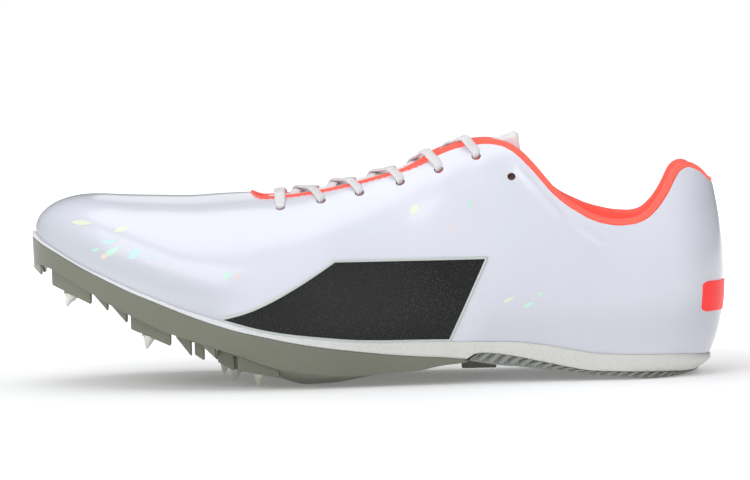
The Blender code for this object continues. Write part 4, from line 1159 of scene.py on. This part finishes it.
# Lacing
def eyelet_across(place, rise):
    square = float(follow(LAST_SECTIONS, "square", place))
    return float(half_breadth(place)) * (1 - rise ** square) ** (1 / square)


def through_points(knots, per_knot):
    """Points on a Catmull-Rom curve through the knots."""
    knots = np.asarray(knots, float)
    padded = np.vstack([2 * knots[0] - knots[1], knots, 2 * knots[-1] - knots[-2]])
    points = []
    for i in range(1, len(padded) - 2):
        a, b, c, d = padded[i - 1:i + 3]
        for t in np.linspace(0, 1, per_knot, endpoint=False):
            points.append(0.5 * (2 * b + (c - a) * t + (2 * a - 5 * b + 4 * c - d) * t ** 2
                                 + (3 * b - a - 3 * c + d) * t ** 3))
    points.append(knots[-1])
    return np.array(points)


def lace_knot(place, distance, offset):
    return shell_point(place, float(turn_at_across(place, distance)), offset)


def edge_across(place):
    """Distance from the ridge to the upper's top edge."""
    return eyelet_across(place, float(np.sin(edge_turn(place, -1))))


def landing(edge, reach, proud, lift):
    """Distances and offsets of a strand from the lining's roll down into its hole."""
    rest = LACE_THICKNESS / 2
    turned = reach - 0.0011
    return [
        (edge - 0.5 * proud, rest + 0.0006 + 0.85 * lift), (edge + 0.0006, rest + 0.0005 + 0.3 * lift),
        ((edge + 0.0006 + turned) / 2, rest + 0.0002), (turned, rest - 0.0002),
        (reach - 0.0006, -0.5 * UPPER_WALL), (reach - 0.0006, -UPPER_WALL - 0.0012),
    ]


def crossing_knots(start, end, side, over):
    """Knots of a strand from under one edge of the throat to the hole on the other side.
    start is its place at the edge it comes from, end its hole, side the side it ends on."""
    end_place, end_rise = end
    reach = eyelet_across(end_place, end_rise)
    edge = edge_across(end_place)
    thick, proud, lift = (float(follow(LINING, name, end_place)) for name in ("thickness", "proud", "lift"))
    first = -(edge + LACE_TUCK)

    def knot(distance, offset):
        share = min((distance - first) / (reach - 0.0015 - first), 1.0) ** LACE_LEAN_POWER
        return lace_knot(start + (end_place - start) * share, side * distance, offset)
    rest = LACE_THICKNESS / 2
    base = rest - TONGUE_CROWN_DEPTH - float(follow(TONGUE_SAG, "sag", end_place)) + 0.0001
    under = -(UPPER_WALL + LINING_GAP + thick + rest)
    crown = knot(0.0, base + (LACE_THICKNESS if over else 0.0))
    landed = [knot(distance, offset) for distance, offset in landing(edge, reach, proud, lift)]
    return [
        knot(first, under), knot(-(edge - 0.0005), under),
        knot(-(edge - proud - 0.0012), 0.5 * (under + base)), knot(-0.0042, base), crown,
        (crown + landed[0]) / 2, *landed,
    ]


def lace_section(width, thickness, power=2.6):
    points = []
    for i in range(LACE_SIDES):
        angle = 2 * math.pi * i / LACE_SIDES
        c, s = math.cos(angle), math.sin(angle)
        points.append((math.copysign(abs(c) ** (2 / power), c) * width / 2,
                       math.copysign(abs(s) ** (2 / power), s) * thickness / 2))
    return points


def lace_sweep(name, path, up, widths):
    """Flat cord along a path. The frame is carried along it without twist, from the first up."""
    run = np.gradient(path, axis=0)
    run /= np.linalg.norm(run, axis=1, keepdims=True)
    normal = up - run[0] * np.dot(up, run[0])
    normal /= np.linalg.norm(normal)
    rings, length = [], [0.0]
    for i, point in enumerate(path):
        if i:
            normal = normal - run[i] * np.dot(normal, run[i])
            normal /= np.linalg.norm(normal)
            length.append(length[-1] + np.linalg.norm(point - path[i - 1]))
        side = np.cross(run[i], normal)
        width, thickness = widths[i]
        rings.append([point + side * a + normal * b for a, b in lace_section(width, thickness)])
    rings = np.array(rings)
    cord = loft(name, rings)
    weave = cord.data.uv_layers.new(name="weave")
    girth = 2 * (LACE_WIDTH + LACE_THICKNESS)
    for face in cord.data.polygons:
        for corner, vertex in zip(face.loop_indices, face.vertices):
            row, column = divmod(vertex, LACE_SIDES)
            if row < len(length):
                around = column / LACE_SIDES * girth
                weave.data[corner].uv = (length[row] / WEAVE_PITCH, around / WEAVE_PITCH)
    return cord


def make_laces():
    """One flat lace: a bar at the lowest holes, then crossed strands up to the top ones."""
    place, rise = EYELETS[0]
    reach, edge = eyelet_across(place, rise), edge_across(place)
    proud, lift = (float(follow(LINING, name, place)) for name in ("proud", "lift"))
    crown = LACE_THICKNESS / 2 - TONGUE_CROWN_DEPTH + BAR_CROWN
    half = landing(edge, reach, proud, lift)[::-1] + [(0.0060, crown - 0.0002)]
    knots = [lace_knot(place + BAR_LEAN * (1 - d / reach), -d, o) for d, o in half]
    knots.append(lace_knot(place + BAR_LEAN, 0.0, crown))
    knots += [lace_knot(place + BAR_LEAN * (1 - d / reach), d, o) for d, o in half[::-1]]
    lace_strand("lace_bar_woven", knots, place, "lace_bar")
    for k in range(1, len(EYELETS)):
        before = EYELETS[k - 1][0]
        start = before + (EYELETS[k][0] - before) * LACE_STARTS[k - 1]
        for side in (1, -1):
            knots = crossing_knots(start, EYELETS[k], side, over=side < 0)
            name = f"lace_cross_{k}_" + ("lateral" if side < 0 else "medial")
            lace_strand(name, knots, start, f"lace_cross_{k}")


def lace_strand(name, knots, place, node):
    path = through_points(knots, 9)
    widths = []
    total = np.concatenate([[0], np.cumsum(np.linalg.norm(np.diff(path, axis=0), axis=1))])
    for length in total:
        near_end = total[-1] - length
        narrow = smooth_step((near_end - 0.0020) / 0.0045)
        if node == "lace_bar":
            narrow = min(narrow, smooth_step((length - 0.0020) / 0.0045))
        widths.append((LACE_WIDTH * (0.80 + 0.20 * narrow), LACE_THICKNESS * (1.40 - 0.40 * narrow)))
    up = np.array([0.0, 1.0, 0.0]) if node == "lace_bar" else last_normal(place, math.pi / 2)
    return dressed(lace_sweep(name, path, up, widths), "laces", lace_cloth, nodes=[node])


# Side panels and heel tab
def panel_place(u, v, side):
    """Place on the side panel: u from its front edge to its rear, v from bottom to top."""
    low = PANEL["low_front"] + (PANEL["low_rear"] - PANEL["low_front"]) * u
    high = PANEL["high_front"] + (PANEL["high_rear"] - PANEL["high_front"]) * u
    along = low + (high - low) * v
    bottom = feather_height(along) + 0.0004
    height = bottom + (PANEL_TOP * HEIGHT - bottom) * v
    return along, turn_at_height(along, height, side)


def make_side_panel(side):
    name = "lateral" if side < 0 else "medial"
    columns, rows = 120, 44
    points = []
    for v in np.linspace(0, 1, rows + 1):
        u = np.linspace(0, 1, columns + 1)
        along, turn = panel_place(u, v, side)
        points.extend(upper_point(along, turn, PANEL_PROUD))
    panel = mesh_object(f"side_panel_{name}", points, grid_faces(rows + 1, columns + 1))
    sheet = panel.modifiers.new("Sheet", "SOLIDIFY")
    sheet.thickness = PANEL_THICKNESS
    sheet.offset = -1.0
    settle(panel, 50.0)
    dressed(panel, "upper", panel_black)
    ring = []
    sides = [((0, 0), (0, 1)), ((0, 1), (1, 1)), ((1, 1), (1, 0)), ((1, 0), (0, 0))]
    for (u0, v0), (u1, v1) in sides:
        for t in np.linspace(0, 1, 70, endpoint=False):
            ring.append((u0 + (u1 - u0) * t, v0 + (v1 - v0) * t))
    along, turn = (np.array(x) for x in zip(*[panel_place(u, v, side) for u, v in ring]))
    path = upper_point(along, turn, PANEL_PROUD * 0.7)
    normals = last_normal(along, turn)
    run = np.roll(path, -1, axis=0) - np.roll(path, 1, axis=0)
    rings = []
    for point, normal, forward in zip(path, normals, run):
        forward = forward / np.linalg.norm(forward)
        across = np.cross(normal, forward)
        rings.append([
            point + across * math.cos(a) * PIPING_RADIUS * 1.3 + normal * math.sin(a) * PIPING_RADIUS * 0.8
            for a in np.linspace(0, 2 * math.pi, 10, endpoint=False)
        ])
    piping = loft(f"panel_piping_{name}", rings, loop=True)
    piping.data.shade_smooth()
    dressed(piping, "upper", piping_silver)


def heel_outline(height, reach, count):
    """Points round the back of the heel at a height, equal lengths apart, and their outward ways."""
    places = rounded_steps(0.0, 0.2, 200, tight_start=True)
    sides = []
    for side in (-1, 1):
        turns = turn_at_height(places, height, side)
        sides.append(last_point(places, turns))
    line = np.concatenate([sides[0][::-1], sides[1][1:]])
    lengths = np.concatenate([[0], np.cumsum(np.linalg.norm(np.diff(line, axis=0), axis=1))])
    middle = lengths[len(places) - 1]
    steps = np.linspace(middle - reach, middle + reach, count)
    points = np.stack([np.interp(steps, lengths, line[:, i]) for i in range(3)], axis=-1)
    run = np.gradient(points, axis=0)
    outward = np.stack([run[:, 1], -run[:, 0], np.zeros(count)], axis=-1)
    return points, outward / np.linalg.norm(outward, axis=1, keepdims=True)


def make_heel_tab():
    """Small plain red tab round the back of the heel."""
    count = 81
    rows = []
    for share in np.linspace(0, 1, 15):
        height = TAB_LOW + (TAB_HIGH - TAB_LOW) * share
        ends = 1 - 0.10 * (1 - cap(1 - abs(2 * share - 1), 0.35, 2.0))
        points, outward = heel_outline(height, TAB_REACH * ends, count)
        rows.append(points + outward * 0.00030)
    tab = mesh_object("heel_tab", np.array(rows).reshape(-1, 3), grid_faces(15, count))
    sheet = tab.modifiers.new("Sheet", "SOLIDIFY")
    sheet.thickness = TAB_THICKNESS
    sheet.offset = -1.0
    settle(tab, 50.0)
    return dressed(tab, "lining", tab_red_painted_glow)


# Sole
def slab_rings(levels):
    """Rings of a sole piece. Each level is (places, grow, height function); rings go down the
    lateral side and up the medial one."""
    left, right = [], []
    for places, grow, level in levels:
        lateral, medial = feather_outline(places, grow)
        plain = feather_outline(places, 0.0)
        for side, line in zip((lateral, medial), plain):
            side[:, 2] = level(places - (side[:, 0] - line[:, 0]) / LENGTH, side)
        left.append(lateral)
        right.append(medial)
    return np.stack(left + right[::-1], axis=1)


def sole_places(first, last, fine=6):
    places = np.unique(np.concatenate([
        rounded_steps(0.0, 0.12, 10 * fine, tight_start=True),
        rounded_steps(0.12, 0.32, 8 * fine)[1:],
        rounded_steps(*SOLE_STEP, 10 * fine)[1:],
        rounded_steps(SOLE_STEP[1], 0.90, 14 * fine)[1:],
        rounded_steps(0.90, TOE_TIP, 10 * fine, tight_end=True)[1:],
    ]))
    inside = places[(places > first + 1e-3) & (places < last - 1e-3)]
    return np.concatenate([[first], inside, [last]])


def make_midsole():
    places = sole_places(0.0, TOE_TIP)
    out = ledge(places)
    draw = heel_draw_in(places)

    def top(where, side):
        return feather_height(where) - 0.00005

    def bottom(where, side):
        return height_of(WEDGE_LINE, along_of(side[:, 0]))

    def between(share, lift=0.0):
        return lambda where, side: top(where, side) * (1 - share) + bottom(where, side) * share + lift
    profile = (
        (0.00, -0.0012), (0.00, -0.0003), (0.05, -0.00008), (0.13, 0.0), (0.26, 0.00002), (0.32, -0.00012),
        (0.40, 0.0), (0.55, 0.0002), (0.75, 0.0001), (0.92, -0.0001), (1.0, -0.0004),
    )
    levels = []
    for share, grow in profile:
        levels.append((places, out + grow - draw * max(share - 0.35, 0) / 0.65, between(share)))
    midsole = loft("midsole_foam", slab_rings(levels), cap_first=False, cap_last=False)
    midsole.data.set_sharp_from_angle(angle=math.radians(50.0))
    return dressed(midsole, "midsole", foam, nodes=["midsole"])


def rib_places(steps):
    """Places along the rubber's rim at equal lengths round it, and their share of a rib's height."""
    fine = np.concatenate([
        rounded_steps(0, 0.12, 400, tight_start=True), rounded_steps(0.12, RUBBER_FRONT, 400)[1:],
    ])
    rim = feather_outline(fine, 0.0)[0]
    reach = np.concatenate([[0], np.cumsum(np.linalg.norm(np.diff(rim[:, :2], axis=0), axis=1))])
    ribs = int(reach[-1] / RIB_PITCH)
    count = ribs * steps
    lengths = np.linspace(0, reach[-1], count + 1)
    phase = (lengths / reach[-1] * ribs) % 1.0
    share = np.clip(0.5 + 1.3 * np.cos(2 * math.pi * (phase - 0.05)), 0, 1)
    return np.interp(lengths, reach, fine), smooth_step(share)


def make_heel_rubber():
    places, rib = rib_places(14)
    draw = heel_draw_in(places)
    heel = smooth_step((0.10 - places) / 0.10)
    out = ledge(places) - draw

    def top(where, side):
        return height_of(WEDGE_LINE, along_of(side[:, 0])) - SOLE_SEAM

    def floor(where, side):
        return height_of(RUBBER_LINE, along_of(side[:, 0]))

    def edge(where, side):
        lifted = floor(where, side) + RUBBER_EDGE_HEIGHT + RIB_NOTCH * (1 - rib)
        return np.minimum(lifted, top(where, side) - 0.0004)

    def between(share):
        return lambda where, side: top(where, side) * (1 - share) + edge(where, side) * share
    slant = RIB_SLANT * smooth_step(places / 0.1) / LENGTH
    levels = [(places - slant, out - 0.0012, top)]
    for share, depth in ((0.0, 0.25), (0.08, 0.8), (0.35, 1.0), (0.65, 1.0), (1.0, 1.0)):
        groove = RIB_DEPTH * depth * (1 - rib)
        shrink = (0.0003 + 0.0012 * heel) * share
        levels.append((places - slant * (1 - share), out - groove - shrink, between(share)))
    inset = RUBBER_FLOOR_INSET + (RUBBER_HEEL_INSET - RUBBER_FLOOR_INSET) * heel
    levels.append((places, out - inset * 0.55 - 0.3 * RIB_DEPTH * (1 - rib),
                   lambda where, side: 0.75 * floor(where, side) + 0.25 * edge(where, side)))
    levels.append((places, out - inset, floor))
    rubber_block = loft("heel_rubber_ribbed", slab_rings(levels), cap_first=False)
    gap = 0.0005
    where = np.linspace(TAIL["along"][0], TAIL["along"][-1], 40)
    half = follow(TAIL, "half", where) * BREADTH + gap
    x = (0.5 - where) * LENGTH
    x[0] += gap
    lateral = list(zip(x, swing(where) - half))
    medial = list(zip(x, swing(where) + half))
    outline = lateral + medial[::-1]
    points = [(a, b, z) for z in (-0.01, 0.03) for a, b in outline]
    count = len(outline)
    faces = [tuple(range(count)), tuple(range(count, 2 * count))]
    faces += [(i, (i + 1) % count, count + (i + 1) % count, count + i) for i in range(count)]
    boolean(rubber_block, mesh_object("tail_notch_cutter", points, faces), "DIFFERENCE")
    settle(rubber_block, 35.0)
    return dressed(rubber_block, "heel_rubber", rubber, nodes=["heel_outsole"])


def plate_rim(places, side, grow=0.0):
    """Lateral (-1) or medial (1) points of the plate's rim, drawn in at its tail."""
    lateral, medial = feather_outline(places, ledge(places) + grow)
    rim = lateral if side < 0 else medial
    middle = swing(places)
    tail = places < TAIL["along"][-1]
    limit = middle + side * follow(TAIL, "half", places) * BREADTH
    tucked = np.maximum(rim[:, 1], limit) if side < 0 else np.minimum(rim[:, 1], limit)
    rim[tail, 1] = tucked[tail]
    return rim


def wall_height(x):
    return height_of(WALL_LINE, along_of(x))


def make_plate_body():
    places = np.unique(np.concatenate([sole_places(TAIL["along"][0], TOE_TIP, 4), TAIL["along"]]))
    left, right = [], []
    for side, levels in ((-1, left), (1, right)):
        middle = swing(places)

        def under(points, drop):
            return height_of(WEDGE_LINE, along_of(points[:, 0])) - SOLE_SEAM - drop
        top = plate_rim(places, side)
        top[:, 2] = under(top, 0.0)
        low = plate_rim(places, side, -0.0003)
        low[:, 2] = np.minimum(wall_height(low[:, 0]), under(low, PLATE_RIM))
        inner = low.copy()
        reach = np.abs(low[:, 1] - middle)
        inner[:, 1] = middle + side * np.maximum(reach - 0.0012, 0.3 * reach)
        inner[:, 2] = low[:, 2] + 0.0002
        keel = low.copy()
        keel[:, 1] = middle + side * np.maximum(reach - KEEL_INSET, 0.3 * reach)
        keel[:, 2] = np.minimum(height_of(KEEL_LINE, along_of(keel[:, 0])), under(keel, TAIL_THICKNESS))
        rounded = [low * (1 - t) + keel * t for t in (0.10, 0.35, 0.65)]
        edge = top * 0.04 + low * 0.96
        levels.extend([top, edge, low] + rounded + [keel])
    rings = np.stack(left + right[::-1], axis=1)
    return loft("plate_moulding", rings, cap_last=False)


BOX_FACES = [(0, 1, 2, 3), (4, 5, 6, 7), (0, 1, 5, 4), (1, 2, 6, 5), (2, 3, 7, 6), (3, 0, 4, 7)]


def lug_block(lug, side):
    """A tapered block hanging from the plate near its rim, its ends square across the shoe."""
    places = np.array([lug["front"], lug["back"]])
    drops = np.array([lug["front_drop"], lug["back_drop"]]) * LUG_DROP
    rim = plate_rim(places, side, -PLATE_DRAFT)
    middle = swing(places)
    reach = np.abs(rim[:, 1] - middle)
    outer = np.maximum(reach - lug["inset"] * LUG_INSET, LUG_LEAST_REACH + LUG_LEAST_WIDTH)
    inner = np.maximum(outer - LUG_WIDTH, LUG_LEAST_REACH)
    base = wall_height(rim[:, 0])
    points = []
    for distance, lean in ((outer, 1), (inner, -1)):
        root_y = middle + side * distance
        tip_y = root_y - side * lean * LUG_TAPER * drops
        roots = [(rim[i, 0], root_y[i], base[i] + LUG_ROOT) for i in (0, 1)]
        tips = [(rim[i, 0], tip_y[i], base[i] - drops[i]) for i in (0, 1)]
        points += [roots[0], roots[1], tips[1], tips[0]]
    return points, BOX_FACES


def tail_rib():
    """A short bar under the plate's tail that shows below the heel rubber's front."""
    front, back = [(0.5 - place) * LENGTH for place in TAIL_RIB["along"]]
    middle = float(swing(np.mean(TAIL_RIB["along"])))
    half = TAIL_RIB["half"] * BREADTH
    points = []
    for y in (middle - half, middle + half):
        low, high = TAIL_RIB["low"] * HEIGHT, TAIL_RIB["high"] * HEIGHT
        points += [(front, y, high), (back, y, high), (back, y, low), (front, y, low)]
    return points, BOX_FACES


def centre_lug(place):
    """A small pyramid tooth under the middle of the forefoot."""
    middle = float(swing(place))
    x = (0.5 - place) * LENGTH
    base = float(height_of(KEEL_LINE, place))
    points = []
    for size, z in ((0.0045, base + LUG_ROOT + 0.001), (0.0016, base - 0.45 * LUG_DROP)):
        points += [(x - size, middle - size, z), (x + size, middle - size, z),
                   (x + size, middle + size, z), (x - size, middle + size, z)]
    return points, BOX_FACES


def spike_axis(spike):
    lean = math.radians(spike["lean"])
    return Vector((math.sin(lean), 0.0, math.cos(lean)))


def spike_tip(spike):
    return Vector(((0.5 - spike["along"]) * LENGTH, spike["across"] * BREADTH, spike["tip"] * HEIGHT))


def spike_seat(spike):
    """Middle of the flat face that a spike's collar seats on."""
    tilt = math.radians(spike["lean"])
    reach = SPIKE_LENGTH + SPIKE_COLLAR_HEIGHT + CLEARANCE + SPIKE_TIP_RADIUS * math.sin(tilt)
    return spike_tip(spike) + spike_axis(spike) * reach


def softened(thing, width):
    """Small rounding on a solid's sharp edges, clear of its flat faces."""
    modifier = thing.modifiers.new("Rounding", "BEVEL")
    modifier.width = width
    modifier.segments = 2
    modifier.limit_method = "ANGLE"
    modifier.angle_limit = math.radians(35.0)
    return thing


def make_plate():
    plate = make_plate_body()
    blocks = [lug_block(lug, side) for lug in LUGS for side in (-1, 1)]
    blocks += [centre_lug(place) for place in CENTRE_LUGS]
    blocks.append(tail_rib())
    bosses, pockets = [], []
    for spike in SPIKES:
        seat, axis = spike_seat(spike), spike_axis(spike)
        underside = float(height_of(KEEL_LINE, spike["along"]))
        boss_length = max(underside - seat.z, 0.0) / axis.z + 0.002
        bosses.append(cylinder(seat - axis * 0.001, seat + axis * boss_length, BOSS_RADIUS))
        pockets.append(cylinder(seat - axis * POCKET_DEPTH, seat, BOSS_RADIUS + 0.0004))
    lugs = settle(softened(joined("lug_tool", blocks), 0.0005))
    boolean(plate, joined("boss_tool", bosses), "UNION")
    boolean(plate, lugs, "UNION", crossing_parts=True)
    boolean(plate, joined("pocket_cutter", pockets), "DIFFERENCE", crossing_parts=True)
    settle(plate, 35.0)
    return dressed(plate, "plate", plate_plastic, nodes=["spike_plate"])


def make_spike(number, spike):
    """Turned spike: blunt cone, necked collar and a ring under it."""
    lift = SPIKE_TIP_RADIUS * math.sin(math.radians(spike["lean"]))
    profile = (
        (0.0, 0.0), (0.6 * SPIKE_TIP_RADIUS, 0.00004), (SPIKE_TIP_RADIUS, 0.0003),
        (0.93 * SPIKE_RADIUS, SPIKE_LENGTH - 0.0006), (SPIKE_RADIUS, SPIKE_LENGTH - 0.0003),
        (SPIKE_RADIUS, SPIKE_LENGTH), (0.92 * SPIKE_COLLAR_RADIUS, SPIKE_LENGTH),
        (SPIKE_COLLAR_RADIUS, SPIKE_LENGTH + 0.0002),
        (SPIKE_COLLAR_RADIUS, SPIKE_LENGTH + SPIKE_COLLAR_HEIGHT - 0.0002),
        (0.92 * SPIKE_COLLAR_RADIUS, SPIKE_LENGTH + SPIKE_COLLAR_HEIGHT),
    )
    turn = spike_axis(spike).to_track_quat("Z", "Y")
    tip = spike_tip(spike)
    rings = []
    for radius, height in profile:
        radius = max(radius, 0.00002)
        rings.append([
            tip + turn @ Vector((radius * math.cos(a), radius * math.sin(a), height + lift))
            for a in np.linspace(0, 2 * math.pi, 40, endpoint=False)
        ])
    made = loft(f"spike_{number}_turned", [[tuple(p) for p in ring] for ring in rings])
    made.data.set_sharp_from_angle(angle=math.radians(35.0))
    return dressed(made, "spikes", steel, nodes=[f"spike_{number}"])


def dress_insole():
    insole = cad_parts["insole"]
    insole.data.materials.clear()
    insole.data.materials.append(insole_cloth)


# Studio
def add_floor():
    """Pale floor of one colour. A glow that grows outward keeps it white far from the shoe."""
    made, tree, shader = shader_of("floor_white", FLOOR_WHITE, 0.9)

    moved = tree.nodes.new("ShaderNodeMapping")
    moved.inputs["Scale"].default_value = (1 / 0.72, 1 / 0.39, 0.0)
    tree.links.new(object_place(tree), moved.inputs["Vector"])
    away = tree.nodes.new("ShaderNodeVectorMath")
    away.operation = "LENGTH"
    tree.links.new(moved.outputs["Vector"], away.inputs[0])
    glow = ramp(tree, away.outputs["Value"], [
        (0.12, (0.16,) * 3), (0.33, (0.34,) * 3), (1.0, (0.90,) * 3),
    ])
    tree.links.new(glow, shader.inputs["Emission Color"])
    shader.inputs["Emission Strength"].default_value = 1.0
    size = 6.0
    mesh = bpy.data.meshes.new("floor")
    corners = [(-size, -size, 0.0), (size, -size, 0.0), (size, size, 0.0), (-size, size, 0.0)]
    mesh.from_pydata(corners, [], [(0, 1, 2, 3)])
    mesh.materials.append(made)
    floor = bpy.data.objects.new("floor", mesh)
    bpy.context.scene.collection.objects.link(floor)


def add_light(name, place, target, size, power):
    data = bpy.data.lights.new(name, "AREA")
    data.shape = "RECTANGLE"
    data.size, data.size_y = size
    data.energy = power
    light = bpy.data.objects.new(name, data)
    light.location = place
    light.rotation_mode = "QUATERNION"
    light.rotation_quaternion = (Vector(target) - Vector(place)).to_track_quat("-Z", "Y")
    bpy.context.scene.collection.objects.link(light)


def add_studio():
    """White studio: brighter in front and to the left, dimmer behind, so that outlines read."""
    world = bpy.data.worlds.new("studio")
    bpy.context.scene.world = world
    world.use_nodes = True
    tree = world.node_tree
    shade = tree.nodes["Background"]
    shade.inputs["Strength"].default_value = 1.0
    way = tree.nodes.new("ShaderNodeTexCoord")
    split = tree.nodes.new("ShaderNodeSeparateXYZ")
    tree.links.new(way.outputs["Generated"], split.inputs[0])
    leaning = maths(tree, "MULTIPLY_ADD", split.outputs["X"], 0.45, split.outputs["Y"])
    share = maths(tree, "MULTIPLY_ADD", leaning, 0.5, 0.5)
    tint = ramp(tree, share, [
        (0.10, (0.50, 0.51, 0.53)), (0.50, (0.32, 0.33, 0.34)), (0.80, (0.10, 0.10, 0.11)),
    ])
    tree.links.new(tint, shade.inputs["Color"])
    bright = tree.nodes.new("ShaderNodeBackground")
    bright.inputs["Strength"].default_value = 1.3
    ray = tree.nodes.new("ShaderNodeLightPath")
    mix = tree.nodes.new("ShaderNodeMixShader")
    tree.links.new(ray.outputs["Is Camera Ray"], mix.inputs[0])
    tree.links.new(shade.outputs[0], mix.inputs[1])
    tree.links.new(bright.outputs[0], mix.inputs[2])
    tree.links.new(mix.outputs[0], tree.nodes["World Output"].inputs["Surface"])
    add_light("key", (-0.9, -1.3, 1.3), (0.0, 0.0, 0.04), (1.5, 1.1), 10.5)
    add_light("top", (-0.1, 0.1, 1.5), (0.0, 0.0, 0.0), (1.4, 1.0), 9.0)
    add_light("back", (0.3, 1.4, 0.9), (0.0, 0.0, 0.04), (1.2, 0.8), 3.0)
    bpy.context.scene.view_settings.view_transform = "Standard"


def add_camera():
    """Camera at the photo's angle: a long lens 1.3 m off the lateral side, a little above it."""
    camera_data = bpy.data.cameras.new("camera")
    camera_data.lens = 151.57
    camera_data.sensor_width = 36.0
    camera_data.clip_end = 50.0
    pitch, roll = math.radians(3.2), math.radians(-1.1494)
    forward = Vector((0.0, math.cos(pitch), -math.sin(pitch)))
    level_up = Vector((0.0, math.sin(pitch), math.cos(pitch)))
    right = Vector((1.0, 0.0, 0.0)) * math.cos(roll) + level_up * math.sin(roll)
    up = level_up * math.cos(roll) - Vector((1.0, 0.0, 0.0)) * math.sin(roll)
    camera = bpy.data.objects.new("camera", camera_data)
    place = Vector((-0.00071, -1.29797, 0.12930)) + Vector(SHIFT)
    turned = Matrix((right, up, -forward)).transposed().to_4x4()
    camera.matrix_world = Matrix.Translation(place) @ turned
    bpy.context.scene.collection.objects.link(camera)
    bpy.context.scene.camera = camera


add_camera()
add_floor()
add_studio()
make_upper()
make_slivers()
make_hole_backing()
make_collar()
make_throat_stitching()
make_tongue()
make_laces()
for side in (-1, 1):
    make_side_panel(side)
make_heel_tab()
make_midsole()
make_heel_rubber()
make_plate()
for number, spike in enumerate(SPIKES, start=1):
    make_spike(number, spike)
dress_insole()
